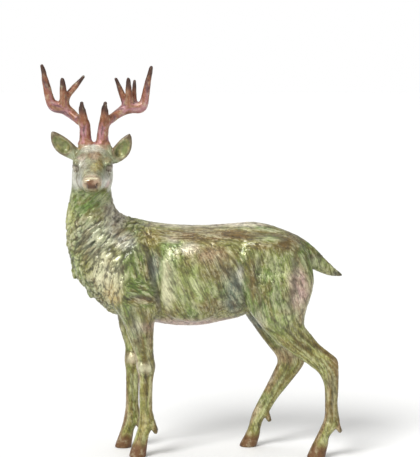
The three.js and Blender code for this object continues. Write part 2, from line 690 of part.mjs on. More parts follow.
// Thins a closed mesh by drawing edges together, cheapest first, and keeps it closed.
class Thinner {
  constructor({ positions, faces }) {
    this.positions = positions;
    this.faces = faces;
    this.around = positions.map(() => new Set());
    this.errors = positions.map(() => new Float64Array(10));
    this.stamps = new Int32Array(positions.length);
    this.heap = [];
    faces.forEach((face, f) => {
      const n = cross(...face.map((v) => positions[v]));
      const area = Math.hypot(...n) || 1e-12;
      const plane = n.map((v) => v / area);
      plane.push(-plane.reduce((sum, v, k) => sum + v * positions[face[0]][k], 0));
      for (const v of face) {
        this.around[v].add(f);
        let slot = 0;
        for (let a = 0; a < 4; a++)
          for (let b = a; b < 4; b++) this.errors[v][slot++] += plane[a] * plane[b] * area;
      }
    });
  }

  neighbours(v) {
    const found = new Set();
    for (const f of this.around[v]) for (const w of this.faces[f]) if (w !== v) found.add(w);
    return found;
  }

  // The best place for an edge drawn together, and what it costs.
  offer(a, b) {
    const q = this.errors[a].map((v, n) => v + this.errors[b][n]);
    const cost = ([x, y, z]) =>
      q[0] * x * x + 2 * q[1] * x * y + 2 * q[2] * x * z + 2 * q[3] * x + q[4] * y * y +
      2 * q[5] * y * z + 2 * q[6] * y + q[7] * z * z + 2 * q[8] * z + q[9];
    const [pa, pb] = [this.positions[a], this.positions[b]];
    const middle = pa.map((v, k) => (v + pb[k]) / 2);
    const options = [pa, pb, middle];
    const matrix = new THREE.Matrix3().set(q[0], q[1], q[2], q[1], q[4], q[5], q[2], q[5], q[7]);
    const size = q[0] + q[4] + q[7];
    if (Math.abs(matrix.determinant()) > 1e-5 * size ** 3) {
      const best = new THREE.Vector3(-q[3], -q[6], -q[8]).applyMatrix3(matrix.invert()).toArray();
      const far = Math.hypot(...best.map((v, k) => v - middle[k]));
      if (far < 2 * Math.hypot(...pa.map((v, k) => v - pb[k]))) options.push(best);
    }
    const length = Math.hypot(...pa.map((v, k) => v - pb[k]));
    const costs = options.map(cost);
    const pick = costs.indexOf(Math.min(...costs));
    return { cost: Math.max(costs[pick], 0) + SHORT_FIRST * length * length, place: options[pick] };
  }

  push(entry) {
    const heap = this.heap;
    let n = heap.push(entry) - 1;
    while (n > 0 && heap[(n - 1) >> 1].cost > entry.cost) {
      heap[n] = heap[(n - 1) >> 1];
      n = (n - 1) >> 1;
    }
    heap[n] = entry;
  }

  pop() {
    const heap = this.heap;
    const top = heap[0];
    const last = heap.pop();
    if (heap.length === 0) return top;
    let n = 0;
    for (;;) {
      let child = 2 * n + 1;
      if (child >= heap.length) break;
      if (child + 1 < heap.length && heap[child + 1].cost < heap[child].cost) child++;
      if (heap[child].cost >= last.cost) break;
      heap[n] = heap[child];
      n = child;
    }
    heap[n] = last;
    return top;
  }

  propose(a, b) {
    const { cost, place } = this.offer(a, b);
    this.push({ cost, place, a, b, stamp: this.stamps[a] + this.stamps[b] });
  }

  // An edge may go only if its ends share two neighbours and no face turns over or closes up.
  allowed(a, b, place) {
    const shared = [...this.neighbours(a)].filter((v) => this.neighbours(b).has(v));
    if (shared.length !== 2) return false;
    for (const [from, other] of [[a, b], [b, a]])
      for (const f of this.around[from]) {
        const face = this.faces[f];
        if (face.includes(other)) continue;
        const old = cross(...face.map((v) => this.positions[v]));
        const points = face.map((v) => (v === from ? place : this.positions[v]));
        const fresh = cross(...points);
        const [oldSize, freshSize] = [Math.hypot(...old), Math.hypot(...fresh)];
        const sides = points.map((p, k) => Math.hypot(...p.map((v, n) => v - points[(k + 1) % 3][n])));
        if (freshSize < SLIMMEST * Math.max(...sides) ** 2) return false;
        const turn = (old[0] * fresh[0] + old[1] * fresh[1] + old[2] * fresh[2]) / (oldSize * freshSize);
        if (turn < MOST_TURN) return false;
      }
    return true;
  }

  thin(count) {
    this.faces.forEach((face) => {
      for (let k = 0; k < 3; k++) if (face[k] < face[(k + 1) % 3]) this.propose(face[k], face[(k + 1) % 3]);
    });
    let left = this.faces.length;
    while (left > count && this.heap.length > 0) {
      const { a, b, place, stamp } = this.pop();
      if (!this.around[a] || !this.around[b]) continue;
      if (stamp !== this.stamps[a] + this.stamps[b]) continue;
      if (!this.allowed(a, b, place)) continue;
      for (const f of [...this.around[b]]) {
        const face = this.faces[f];
        if (face.includes(a)) {
          for (const v of face) if (v !== b) this.around[v].delete(f);
          this.faces[f] = null;
          left--;
        } else {
          face[face.indexOf(b)] = a;
          this.around[a].add(f);
        }
      }
      this.around[b] = null;
      this.positions[a] = place;
      this.errors[a] = this.errors[a].map((v, n) => v + this.errors[b][n]);
      for (const v of this.neighbours(a)) this.stamps[v] += 1;
      this.stamps[a] += 1;
      const ring = this.neighbours(a);
      for (const v of ring) this.propose(a, v);
      for (const v of ring)
        for (const w of this.neighbours(v)) if (w !== a && !ring.has(w)) this.propose(v, w);
    }
    return { positions: this.positions, faces: this.faces.filter((face) => face) };
  }
}

function toGeometry({ positions, faces }) {
  const box = new THREE.Box3();
  for (const face of faces) for (const v of face) box.expandByPoint(new THREE.Vector3(...positions[v]));
  const middle = box.getCenter(new THREE.Vector3());
  const corners = faces.flatMap((face) => face.flatMap((v) => positions[v]));
  const geometry = new THREE.BufferGeometry();
  geometry.setAttribute("position", new THREE.Float32BufferAttribute(corners, 3));
  geometry.translate(-middle.x, -middle.y, -box.min.z);
  geometry.computeVertexNormals();
  return geometry;
}

function makeStag() {
  const field = new Field();
  addBody(field);
  shapeFeet(field);
  addHead(field);
  addAntlers(field);
  addChestLocks(field);
  const all = new THREE.Box3(LOW, HIGH);
  field.edit(all, (old, x, y, z) => Math.max(old, -z) || 1e-4); // flat soles on the ground
  const mesh = outerSkin(polygonise(field));
  dressMane(mesh);
  return toGeometry(new Thinner(mesh).thin(TRIANGLES));
}

const group = new THREE.Group();
group.name = "deer_figurine";
const bronze = new THREE.MeshStandardMaterial({ color: 0x7d8a4e, roughness: 0.38, metalness: 0.55 });
const stag = new THREE.Mesh(makeStag(), bronze);
stag.name = "stag";
group.add(stag);

export default group;
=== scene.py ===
import math

import bpy
import numpy as np
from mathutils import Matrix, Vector
from mathutils.kdtree import KDTree


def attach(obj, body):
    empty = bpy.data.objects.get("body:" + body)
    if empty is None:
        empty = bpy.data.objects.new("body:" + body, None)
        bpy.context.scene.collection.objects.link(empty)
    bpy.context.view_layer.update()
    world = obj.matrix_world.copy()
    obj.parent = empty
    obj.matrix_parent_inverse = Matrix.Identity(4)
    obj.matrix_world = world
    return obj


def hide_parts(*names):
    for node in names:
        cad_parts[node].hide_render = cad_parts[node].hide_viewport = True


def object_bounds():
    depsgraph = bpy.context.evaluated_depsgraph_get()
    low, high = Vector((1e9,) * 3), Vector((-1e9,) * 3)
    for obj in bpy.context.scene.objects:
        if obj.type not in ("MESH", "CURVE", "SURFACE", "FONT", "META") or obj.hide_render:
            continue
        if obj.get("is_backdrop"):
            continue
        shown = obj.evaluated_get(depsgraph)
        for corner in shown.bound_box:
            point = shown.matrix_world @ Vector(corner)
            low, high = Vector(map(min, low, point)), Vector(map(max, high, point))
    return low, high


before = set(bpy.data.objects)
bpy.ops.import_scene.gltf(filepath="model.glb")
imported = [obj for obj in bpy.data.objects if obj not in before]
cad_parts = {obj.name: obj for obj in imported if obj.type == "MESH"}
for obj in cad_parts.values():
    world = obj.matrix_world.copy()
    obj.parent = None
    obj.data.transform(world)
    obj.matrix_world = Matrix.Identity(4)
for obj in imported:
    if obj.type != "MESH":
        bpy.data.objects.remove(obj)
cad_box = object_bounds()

# The stag, cast in bronze. Its form is worked out in millimetres on a fine grid, as a smooth
# field of lofts, chains and balls, then combed into locks and short hair, and brought to metres.
MM = 0.001
CELL = 1.25
LOW = np.array([-228.0, -104.0, -9.0])
HIGH = np.array([184.0, 64.0, 512.0])
REACH = 9.2  # how far past its own box a shape is worked out
SQUARENESS = 2.2  # of the lofted sections, where 2 is an ellipse
MOST_TRIANGLES = 196000

# The trunk is read along x: (x, top, bottom, half width).
TRUNK = [
    (-158, 262, 232, 10), (-146, 284, 208, 23), (-126, 299, 188, 33), (-104, 303, 176, 38),
    (-80, 299.5, 172, 40.5), (-58, 296.5, 168, 42), (-35, 295, 166, 43), (-8, 294.5, 167, 43),
    (18, 296, 172.5, 41), (38, 297.5, 177, 38), (56, 298.5, 186, 36), (76, 295, 196, 35),
    (96, 288, 206, 32), (112, 280.5, 216, 26), (124, 270, 230, 16),
]
# The neck and the legs are read upwards: (z, front, back, half width), and y where it isn't
# the middle one.
NECK = [
    (189, -127, -112, 12), (202, -142.5, -104, 22), (220, -162, -98, 31), (240, -173.5, -96, 35),
    (262, -180, -98, 34.5, -1), (282, -181.4, -104, 31.5, -2), (300, -182, -113.5, 28, -3),
    (318, -180, -121.5, 25, -5), (336, -176.5, -125.5, 23, -7), (356, -174, -127, 21, -9),
    (376, -168, -131, 17, -9), (388, -160, -138, 10, -8),
]
# Each leg: its middle y, the middle x of its hoof, the height of its dewclaws, how far back
# they reach, and its rows from the top.
LEGS = [
    {
        "y": 25,
        "hoof": -113,
        "claws": 30,
        "heel": -91,
        "rows": [
            (252, -132, -98, 18, 18), (236, -134, -84, 21, 20), (220, -131, -76, 22, 24),
            (205, -126, -74, 20.5, 27), (190, -122, -78, 18.5, 29), (175, -120, -82, 15.6, 29),
            (160, -118, -86, 13, 28.5), (147, -114.2, -88, 11.2, 27.3),
            (135, -110.6, -89.4, 9.6, 26.2), (125, -109.9, -89.6, 9.4, 25.5),
            (114, -109.8, -90, 9.2), (104, -109.6, -91, 8), (94, -109.4, -92.2, 7.2),
            (76, -109.6, -93, 6.8), (56, -110, -93, 7), (43, -111.6, -91.4, 8.6),
            (34, -113.4, -92.4, 8.8), (25, -116, -98.6, 7.8), (15, -119.6, -100.6, 9.2),
            (7, -122.8, -101.8, 10.4), (0, -125, -102.6, 11), (-12, -128, -103, 11.4),
        ],
    },
    {
        "y": -27,
        "hoof": -92,
        "claws": 36,
        "heel": -69,
        "rows": [
            (252, -132, -98, 18, -18), (236, -134, -84, 21, -20), (220, -131, -74, 22, -24),
            (205, -125, -66, 20.5), (190, -117, -66, 18.5, -29), (175, -110, -70, 15.6, -29.5),
            (160, -105, -71.3, 13, -29), (145, -99.5, -71.5, 11, -28),
            (133, -95, -71.4, 9.6, -27.4), (124, -92.8, -71, 9.4), (116, -92, -70.8, 9.3),
            (108, -90.6, -71.4, 8.2), (98, -90, -72.4, 7.3), (80, -90, -73.2, 6.9),
            (60, -89.8, -73, 7.1), (48, -90.4, -70.8, 8.6), (40, -91.4, -71, 9),
            (30, -94, -77, 7.8), (20, -97.4, -79, 8.8), (10, -101, -80.4, 10.2),
            (0, -103.6, -81.4, 11), (-12, -106, -82, 11.4),
        ],
    },
    {
        "y": 30,
        "hoof": 51,
        "claws": 39,
        "heel": 78,
        "rows": [
            (258, 62, 120, 17, 18), (244, 52, 126, 20, 21), (230, 45, 126, 22, 24),
            (215, 40.5, 121, 22.5, 27), (198, 38, 112, 21, 29), (184, 41.5, 104, 18.5),
            (172, 49, 100.5, 16), (158, 58.6, 103, 13.6), (144, 68.4, 109, 11.6),
            (130, 79.6, 118, 9.8), (120, 87, 123.4, 8.8), (112, 88.6, 124, 8.4),
            (104, 85.6, 120, 8), (90, 79, 109.6, 7.4), (76, 72, 98.4, 7.2), (62, 64.8, 87.6, 7.2),
            (52, 59.8, 81.4, 8), (44, 56, 77, 9.2), (36, 53.6, 71, 8.8), (26, 51, 67.4, 8),
            (14, 45.6, 65.6, 9.4), (6, 41.2, 63.4, 10.4), (0, 38.6, 61.6, 11), (-12, 34, 59, 11.4),
        ],
    },
    {
        "y": -34,
        "hoof": 136,
        "claws": 39,
        "heel": 165.5,
        "rows": [
            (258, 66, 122, 17, -18), (244, 57, 128, 20, -21), (230, 51, 131.6, 22, -25),
            (215, 49, 130, 22.5, -28), (198, 50, 124.6, 21, -31), (184, 55, 120.5, 18.8, -33),
            (170, 65, 120, 16.5), (158, 75.5, 129, 14), (147, 87, 138, 12), (136, 102, 151.5, 10),
            (128, 114, 161, 8.8), (120, 125.5, 163.4, 8.2), (110, 138, 163.8, 7.7),
            (98, 144.4, 164, 7.3), (86, 146.4, 163.8, 7.1), (70, 146.8, 163, 7.2),
            (56, 146.6, 164.2, 8), (46, 144.6, 165.4, 9.4), (38, 141, 161, 9), (28, 136.4, 153, 8),
            (18, 131.2, 151.2, 9), (8, 126.6, 149, 10.3), (0, 123.4, 147, 11),
            (-12, 119, 145, 11.4),
        ],
    },
]
# A chain is a row of beads, tapered from one to the next: (x, y, z, radius).
TAIL = [
    (108, 0, 268, 12), (121, 0, 260.5, 12.6), (133, 0, 250.5, 11.4), (145, 0, 242, 8.6),
    (157, 0, 235, 5.4), (168.5, 0, 230.4, 1.4),
]
ANTLERS = [
    {
        "beam": [
            (-136.4, -6, 396, 8.8), (-135.4, -7, 414, 7.1), (-133, -7, 425, 6.2),
            (-124.8, -3, 431, 5.6), (-116.4, 2, 437.4, 5.8), (-108.4, 6, 442, 6.7),
            (-98.4, 7, 444.8, 7.6), (-88.8, 6, 445, 7.4), (-83.6, 5, 451, 6), (-80.4, 2, 468, 4.6),
            (-76.8, -2, 485, 3.5), (-73.8, -5, 495.4, 2.5),
        ],
        "tines": [
            [(-133.4, -8, 424, 6.2), (-132.4, -14, 440, 4.6), (-131.6, -19.5, 450.6, 2.6)],
            [(-106.4, 7, 446, 4.8), (-112.4, 6, 464, 3.6), (-119, 5, 480.6, 2.2)],
            [(-102.4, 5, 446, 5.4), (-102.8, 0, 467, 4), (-103, -5, 480.8, 2.4)],
            [(-97.4, 9, 446, 4.4), (-96.4, 11, 464, 3.1), (-95.8, 12, 478.4, 1.9)],
        ],
    },
    {
        "beam": [
            (-157.4, -6, 396, 8.8), (-157.8, -7, 414, 7.2), (-158.8, -7, 425, 6.2),
            (-165.4, -3, 428.4, 5.7), (-171.8, 2, 433, 5.9), (-179.1, 6, 439.2, 6.9),
            (-186.2, 7, 444, 7.8), (-196, 6, 446, 7.8), (-202, 5, 451, 6.4), (-206.8, 2, 470, 5),
            (-209.8, -2, 485.5, 3.8), (-212, -5, 497.4, 2.5),
        ],
        "tines": [
            [(-159.2, -8, 424, 6.2), (-160.6, -14, 440, 4.6), (-161.2, -19.5, 450.6, 2.6)],
            [(-184.4, 7, 450, 4.6), (-179.8, 6, 461, 3.9), (-170, 6, 472.6, 3.5), (-160.8, 5, 483.4, 2.2)],
            [(-185.6, 5, 446, 5.8), (-186, 0, 467.6, 4.4), (-186.5, -5, 480.4, 2.6)],
            [(-187.8, 9, 446, 4.6), (-187.4, 13, 462, 3.4), (-186.8, 15, 473, 2.2)],
        ],
    },
]
# The ears are leaves: chains that are thin from front to back.
EARS = [
    [
        (-130, -8, 391, 7.6), (-123.2, -8, 381.6, 7.8), (-113.2, -9, 389.2, 10.5),
        (-107.8, -10, 397, 9.4), (-103.6, -11, 405.6, 5.3), (-101.6, -11.6, 410.6, 1.9),
    ],
    [
        (-171.2, -8, 386, 8.2), (-183.8, -9, 395, 10.7), (-190.8, -10, 401.6, 9.5),
        (-196.2, -11, 409.4, 5.3), (-198.8, -11.6, 413.6, 1.9),
    ],
]
EAR_THINNESS = 0.55
TAIL_THINNESS = 0.85

# The head has its own axes: forward along the muzzle, sideways and up, from between the eyes.
HEAD_AT = (-147, -30, 371)
HEAD_PITCH = 15.5
HEAD_YAW = -87
SKULL = [
    (-44, 8, -14, 10), (-36, 17, -24, 18), (-26, 21, -30, 22.5), (-13, 20, -34, 25),
    (0, 16, -33, 24.4), (14, 12, -29, 19.5), (28, 9.4, -23.5, 15.4), (42, 8, -18, 13.2),
    (53, 6.6, -15.4, 12), (61, 3.4, -12.4, 9.2), (65, -1, -8.5, 4.5),
]
# What is added to the head (fill) or cut from it, on its own axes: the middle, the radii and
# the blend. Where the sideways place isn't zero, both sides have one.
HEAD_FORMS = {
    "cheek": ("fill", (-7, 16, -18), (17, 7, 12), 6),
    "brow": ("fill", (1, 20, 8), (11, 4.8, 4.4), 5),
    "tear line": ("cut", (17, 20.6, -2), (10, 4.4, 6), 6),
    "eye": ("fill", (4, 21.2, 2), (7, 4.6, 5), 1.5),
    "nose pad": ("fill", (59, 0, 0.4), (6.5, 11, 6.8), 3),
    "nostril": ("cut", (62, 7, -1), (4.5, 1.8, 2.2), 1.5),
    "mouth": ("cut", (56, 0, -9.6), (10, 8, 0.7), 1),
    "upper lid": ("fill", (4, 21, 7), (8, 3.8, 1.7), 1.5),
    "lower lid": ("fill", (4, 21.4, -3.6), (7, 3.2, 1.3), 1.5),
    "eye corner": ("cut", (12, 19.6, 0), (4, 2, 1.2), 1),
    "nose wing": ("fill", (57, 8, 2.4), (5, 2.4, 3.4), 2.5),
    "jaw": ("fill", (-4, 15, -26), (15, 5, 5), 5),
    "corner of the nose": ("cut", (64, 10.5, -5), (7, 4, 5), 3),
}
# The muscles and hollows of the body, on both sides, and their lean about y in degrees.
BODY_FORMS = {
    "shoulder": ("fill", (-104, 24, 236), (26, 17, 44), 14, -24),
    "elbow": ("fill", (-76, 34, 203), (9, 7, 14), 9, -20),
    "haunch": ("fill", (86, 22, 242), (39, 17, 38), 14, 20),
    "hip bone": ("fill", (66, 31, 270), (17, 5, 5.5), 8, -12),
    "rim of the haunch": ("fill", (51, 36, 226), (8, 6, 36), 10, 6),
    "ribs": ("fill", (-22, 33, 222), (42, 13, 46), 12),
    "behind the shoulder": ("cut", (-66, 50, 236), (8, 10, 40), 10, -12),
    "flank": ("cut", (30, 50, 216), (12, 11, 38), 12, 14),
}
CLAW = {"spread": 5, "root": 4.4, "tip": 3, "length": 5, "drop": 11, "low": 3}
CLEFT = {"ahead": 22, "low": -6, "width": 2.6, "back": 11, "high": 15, "end": 1.4}
BURR = {"lift": 3, "radii": (10, 9.5, 4.5), "below": 8}
# The free tips of the locks that show against the ground, below the chest. Each runs from its
# root by way of a bend: how far back, how far up, and its radius.
CHEST_TIPS = [
    (-172, 0, 226.5), (-152, -7, 203.5), (-150, 9, 206), (-140, -15, 200.5), (-138, 12, 199),
    (-127, -3, 190),
]
LOCK = {"root": (14, 26, 12), "bend": (3, 9, 6.5), "tip": 1}
# How softly each part runs into what it joins.
BLEND = {
    "trunk": 1, "neck": 20, "tail": 6, "leg": 9, "claw": 2, "cleft": 1.5, "skull": 8, "ear": 4,
    "hollow": 2, "antler": 3, "tine": 3.5, "lock": 5,
}

# Carved lines, as the muscles and bones show: the side, the way in x and z, width and depth.
# A depth below zero is a ridge.
BOTH, NEAR, FAR = 0, -1, 1
LINES = [
    (BOTH, [(-86, 278), (-77, 262), (-73, 240), (-69, 218), (-64, 194)], 4.0, 1.8),
    (BOTH, [(-106, 205), (-88, 209), (-70, 204)], 2.6, 1.3),
    (BOTH, [(-58, 258), (-56, 236), (-56, 214), (-53, 194)], 6.0, -0.8),
    (BOTH, [(-120, 246), (-112, 230), (-106, 214)], 4.0, 1.0),
    (BOTH, [(18, 246), (32, 228), (42, 208), (48, 188)], 4.0, 1.4),
    (BOTH, [(28, 256), (40, 242), (47, 224)], 2.6, 1.1),
    (BOTH, [(36, 262), (46, 250), (52, 238)], 2.4, 0.9),
    (BOTH, [(64, 262), (61, 240), (61, 214), (68, 188)], 4.5, 1.2),
    (BOTH, [(102, 264), (108, 240), (105, 214), (96, 188)], 5.0, 1.2),
    (BOTH, [(84, 226), (86, 206), (92, 186)], 4.0, 0.8),
    (NEAR, [(72, 186), (90, 172), (112, 152), (134, 136)], 3.0, 1.1),
    (NEAR, [(98, 178), (112, 162), (132, 146), (150, 132)], 3.0, 0.9),
    (NEAR, [(155, 116), (156, 92), (155.5, 60)], 2.0, 1.1),
    (FAR, [(58, 176), (72, 150), (98, 122)], 3.0, 1.0),
    (FAR, [(104, 114), (92, 92), (76, 62)], 2.0, 1.1),
    (NEAR, [(-100, 192), (-92, 164), (-87, 138)], 3.0, 1.1),
    (NEAR, [(-84, 196), (-80, 166), (-77, 140)], 2.6, 0.8),
    (NEAR, [(-82, 112), (-80.5, 90), (-80.5, 60)], 2.0, 1.1),
    (FAR, [(-106, 176), (-101, 156), (-98, 138)], 3.0, 1.0),
    (FAR, [(-100, 108), (-101, 84), (-101, 56)], 2.0, 1.1),
    (NEAR, [(-94, 127), (-83, 124), (-72, 127)], 2.0, 0.9),
    (NEAR, [(-90, 117), (-82, 116), (-74, 117)], 5.0, -1.1),
    (NEAR, [(-91, 106), (-82, 104), (-72, 107)], 2.0, 0.9),
    (FAR, [(-111, 130), (-101, 127), (-91, 130)], 2.0, 0.9),
    (FAR, [(-107, 120), (-100, 119), (-92, 120)], 5.0, -1.1),
    (FAR, [(-108, 109), (-100, 107), (-91, 110)], 2.0, 0.9),
    (NEAR, [(128, 122), (140, 116), (150, 120)], 2.4, 0.8),
    (NEAR, [(142, 52), (154, 48), (162, 52)], 2.4, 0.7),
    (NEAR, [(-92, 46), (-82, 44), (-72, 46)], 2.4, 0.7),
    (FAR, [(-112, 42), (-102, 40), (-93, 42)], 2.4, 0.7),
]

# The mane: broad clumps, as in the solid, and the fine locks that lie on them.
CLUMP = {
    "length": 30, "width": 10, "height": 2.2, "row": 13, "column": 9,
    "aside": 0.5, "ahead": 0.6, "taper": 1.8, "point": 0.8, "root": 0.25, "sunk": 0.4,
}
NECK_ROUND = {"x": -138, "radius": 34, "parting": 30, "top": 400}
LEAN_LOW = math.tan(math.radians(14))  # how far the locks lean forward at the chest
LEAN_HIGH = math.tan(math.radians(40))  # and on the neck
LEAN_FROM = 225  # the height from which they lean more
# The way the coat lies, by region.
FLOWS = {
    "neck": (-math.tan(math.radians(48)), 0, -1),
    "chest": (-LEAN_LOW, 0, -1),
    "elbow": (1, 0, -0.3),
    "ribs": (0.45, 0, -1),
    "back": (1, 0, -0.15),
    "down": (0.25, 0, -1),
}
HEAD_FLOW = {"up": 0.8, "back": 0.5}
# The tufts of the coat, by region: how long, wide and high one is, how many are kept, and how
# dark the grooves beside it are, patina and painted shade, and how pale its tip, rubbed metal and a
# painted highlight.
MANE = {"length": 24, "half": 2.0, "height": 2.1, "keep": 0.5, "depth": 1.0}
SHOULDER = {"length": 14, "half": 2.3, "height": 1.2, "keep": 0.75, "depth": 0.85}
BODY = {"length": 12, "half": 1.8, "height": 0.75, "keep": 1.0, "depth": 0.6}
LEG = {"length": 10, "half": 1.6, "height": 0.35, "keep": 1.0, "depth": 0.35}
TUFT = {
    "pitch": 3.0, "turn": 0.14, "bend": 0.1, "least": 0.75, "most": 1.25, "low": 0.05,
    "reach": 0.56, "taper": 2.6, "root": 0.45, "swell": 2.0, "round": 0.8, "rise": 0.2,
    "facing": 0.35, "sunk": 0.3, "on head": 0.6,
}
# The grooves between strands: the size and seed of each layer, and how far they are drawn out.
HAIR_LAYERS = [(4.6, 31), (6.4, 47)]
HAIR_DRAWN_OUT = 8.0
HAIR_WIDTH = 0.1
HAIR_DEPTH = {"mane": 1.5, "body": 0.4, "shade": 0.8}
STRAND_SIZE = (0.0015, 0.0015, 0.012)
KNEE = {"z": 116.0, "half": 9.0, "rise": 1.5}
ANTLER_GROOVE = {"depth": 1.6, "size": 2.4, "drawn out": 7, "seed": 12}
EAR_HOLLOW = {"forward": 5, "rim": 3.4, "least": 0.6, "thinness": 0.9}
LACQUER = {"most": 0.5, "bare": 0.5, "legs": 0.3}
TUFT_SEED = 11
THROAT_DEPTH = 0.4  # of the grooves on the smooth throat
MANE_EDGE = {"level": 250, "back": 0.35, "low": 0.5}  # how the edge of the mane slopes
BEAD_STEPS = 3  # between two beads of a chain, to round its bends
FAR_AWAY = 1e3
SMALL = 1e-3
TINY = 1e-6
END_FADE = 8  # how much less the inside of a loft counts past its ends
SCATTER = (127.1, 311.7, 74.7, 43758.5453)
NOISE_SHIFTS = (17.3, 57.3)

# Where one thing gives way to another: 0 at the first value and 1 at the second.
EDGES = {
    "mane ahead": (88, 116),
    "mane above": (108, 122),
    "mane top": (352, 338),
    "smooth throat": (334, 300),
    "plain throat": (304, 322),
    "facing sideways": (0.3, 0.65),
    "line ends": (0, 0.15),
    "clump tip": (1, 0.84),
    "clump shade": (-0.4, 0.5),
    "tuft tip": (1, 0.86),
    "high on the neck": (232, 275),
    "back above": (262, 280),
    "back behind": (-86, -60),
    "elbow behind": (-112, -98),
    "elbow ahead": (-62, -72),
    "elbow above": (194, 202),
    "elbow below": (236, 224),
    "ribs behind": (-68, -50),
    "ribs ahead": (60, 34),
    "ribs above": (158, 176),
    "antler above": (394, 400),
    "stem": (5, 2),
    "stem above": (1, 4),
    "crown above": (416, 420),
    "hoof": (24, 16),
    "nose ahead": (52, 57),
    "nose above": (330, 336),
    "ear aside": (25, 31),
    "ear above": (372, 380),
    "ear": (2.5, 0.8),
    "hollow": (1.4, 0.2),
    "by the eye": (1.9, 1.1),
    "eyeball": (1.15, 1.0),
    "head above": (336, 352),
    "shoulder ahead": (56, 80),
    "shoulder above": (176, 200),
    "short coat": (176, 138),
    "leg": (185, 150),
    "painted leg": (184, 130),
    "pad aside": (8, 6),
    "pad above": (-7, -4.5),
    "patch": (1.4, 0.3),
    "side patch": (1.3, 0.4),
    "head patch": (1.2, 0.6),
    "one side": (0, 8),
    "left of the nose": (0, 3),
    "whorl above": (8, 12),
    "tine tip": (44, 0),
    "green": (0.4, 0.62),
}

# Where the patina changes, on each side, with painted highlights, a painted reflection and painted
# shade among the patches: middle and reach along x and z, colour, strength.
PATCHES = {
    "throat": (-151, 322, 22, 19, "leaf", 0.95),
    "front of the neck": (-178, 306, 8, 30, "pale_olive", 0.9),
    "nape": (-120, 304, 15, 30, "mauve_grey", 0.9),
    "neck": (-148, 280, 28, 26, "grey", 0.9),
    "front of the chest": (-168, 250, 12, 28, "lime", 0.5),
    "chest locks": (-134, 236, 18, 32, "cream", 0.9),
    "brisket": (-122, 210, 16, 18, "tan", 0.7),
    # Painted shade in dark under the chest.
    "under the chest": (-140, 196, 18, 9, "dark", 0.5),
    # A painted highlight in pearl grey on the top of the shoulder.
    "top of the shoulder": (-104, 276, 16, 13, "pearl_grey", 0.7),
    "withers": (-76, 280, 17, 20, "mustard", 0.8),
    "shoulder": (-98, 248, 20, 22, "green", 0.9),
    "front of the shoulder": (-114, 232, 7, 26, "cream", 0.5),
    "elbow": (-92, 218, 20, 13, "leaf", 0.8),
    "elbow fold": (-84, 206, 18, 5, "brown", 0.9),
    "edge of the shoulder": (-79, 246, 4, 26, "olive_brown", 0.6),
    "behind the shoulder": (-70, 243, 9, 22, "slate", 0.9),
    # Painted shade in dark brown behind the elbow, where the foreleg meets the body.
    "behind the elbow": (-65, 203, 4, 22, "dark_brown", 0.75),
    "first rib": (-51, 226, 9, 34, "cream", 0.6),
    # Painted highlights in pearl, where the back catches the light.
    "painted highlight on the back": (-48, 280, 13, 6, "pearl", 0.8),
    "painted highlight on the back, lower": (-26, 269, 13, 8, "pearl", 0.7),
    "loin": (0, 260, 27, 15, "rose_brown", 0.8),
    "ribs": (-20, 226, 24, 26, "lime", 0.95),
    "side": (-6, 236, 12, 10, "brown", 0.5),
    "lower ribs": (4, 196, 24, 9, "olive_brown", 0.7),
    "last ribs": (18, 240, 14, 12, "brown", 0.6),
    "flank": (30, 210, 15, 32, "slate", 0.85),
    # A painted highlight in pearl grey on the flank.
    "flank light": (38, 236, 5, 12, "pearl_grey", 0.7),
    "hip bone": (64, 272, 20, 6, "olive_brown", 0.8),
    "haunch": (82, 234, 22, 28, "green", 0.85),
    "top of the haunch": (98, 275, 20, 12, "brown", 0.8),
    "back of the haunch": (100, 232, 8, 24, "pale_olive", 0.6),
    "rim of the haunch": (54, 226, 3.5, 30, "brown", 0.6),
    "buttock": (112, 216, 16, 32, "mauve", 0.9),
    # A painted reflection of the pale floor, in pale mauve, along the lower edge of the belly, lightening
    # its shade.
    "belly edge": (-20, 170, 76, 9, "pale_mauve", 1.0),
    "spine": (6, 285, 84, 9, "olive_brown", 1.0),
    "strip of the back": (10, 284, 76, 6, "brown", 0.45),
    # A painted highlight in pearl along the ridge of the back, where its rim catches the light.
    "ridge of the back": (6, 297, 86, 3.5, "pearl", 1.0),
    "thigh": (84, 182, 20, 14, "lime", 0.7),
    "thigh streak": (96, 190, 16, 5, "brown", 0.5),
    "front of the thigh": (62, 180, 8, 14, "mauve_grey", 0.5),
    "gaskin": (113, 142, 24, 16, "olive_brown", 0.7),
    "tail tip": (166, 231, 12, 7, "dark", 0.9),
    "tail": (140, 248, 18, 14, "green", 0.6),
    "upper edge of the tail": (142, 256, 22, 4, "dark_brown", 0.7),
}
# The same on one side only.
SIDE_PATCHES = {
    "far thigh": (FAR, 58, 166, 13, 16, "slate", 0.9),
    "far back of the thigh": (FAR, 84, 154, 10, 16, "green", 0.7),
    "far hock": (FAR, 98, 122, 20, 12, "rose_brown", 0.7),
    # A painted highlight in pearl grey along the front of the far hind cannon.
    "far front of the cannon": (FAR, 78, 98, 7, 18, "pearl_grey", 0.7),
    "far cannon": (FAR, 66, 66, 14, 16, "green", 0.7),
    "near cannon": (NEAR, 155, 84, 9, 42, "olive_brown", 0.95),
    "near edge of the hock": (NEAR, 158, 122, 8, 10, "olive_brown", 0.6),
    "near back of the foreleg": (NEAR, -77, 150, 4, 40, "brown", 0.6),
    "near middle of the foreleg": (NEAR, -92, 160, 8, 26, "grey", 0.6),
    "near fore knee": (NEAR, -86, 116, 14, 8, "mauve_grey", 0.5),
    "far fore knee": (FAR, -102, 120, 12, 8, "mauve", 0.5),
    "near back of the cannon": (NEAR, -74, 80, 3, 28, "rose_brown", 0.6),
    "near fore pastern": (NEAR, -84, 40, 12, 14, "straw", 0.5),
}
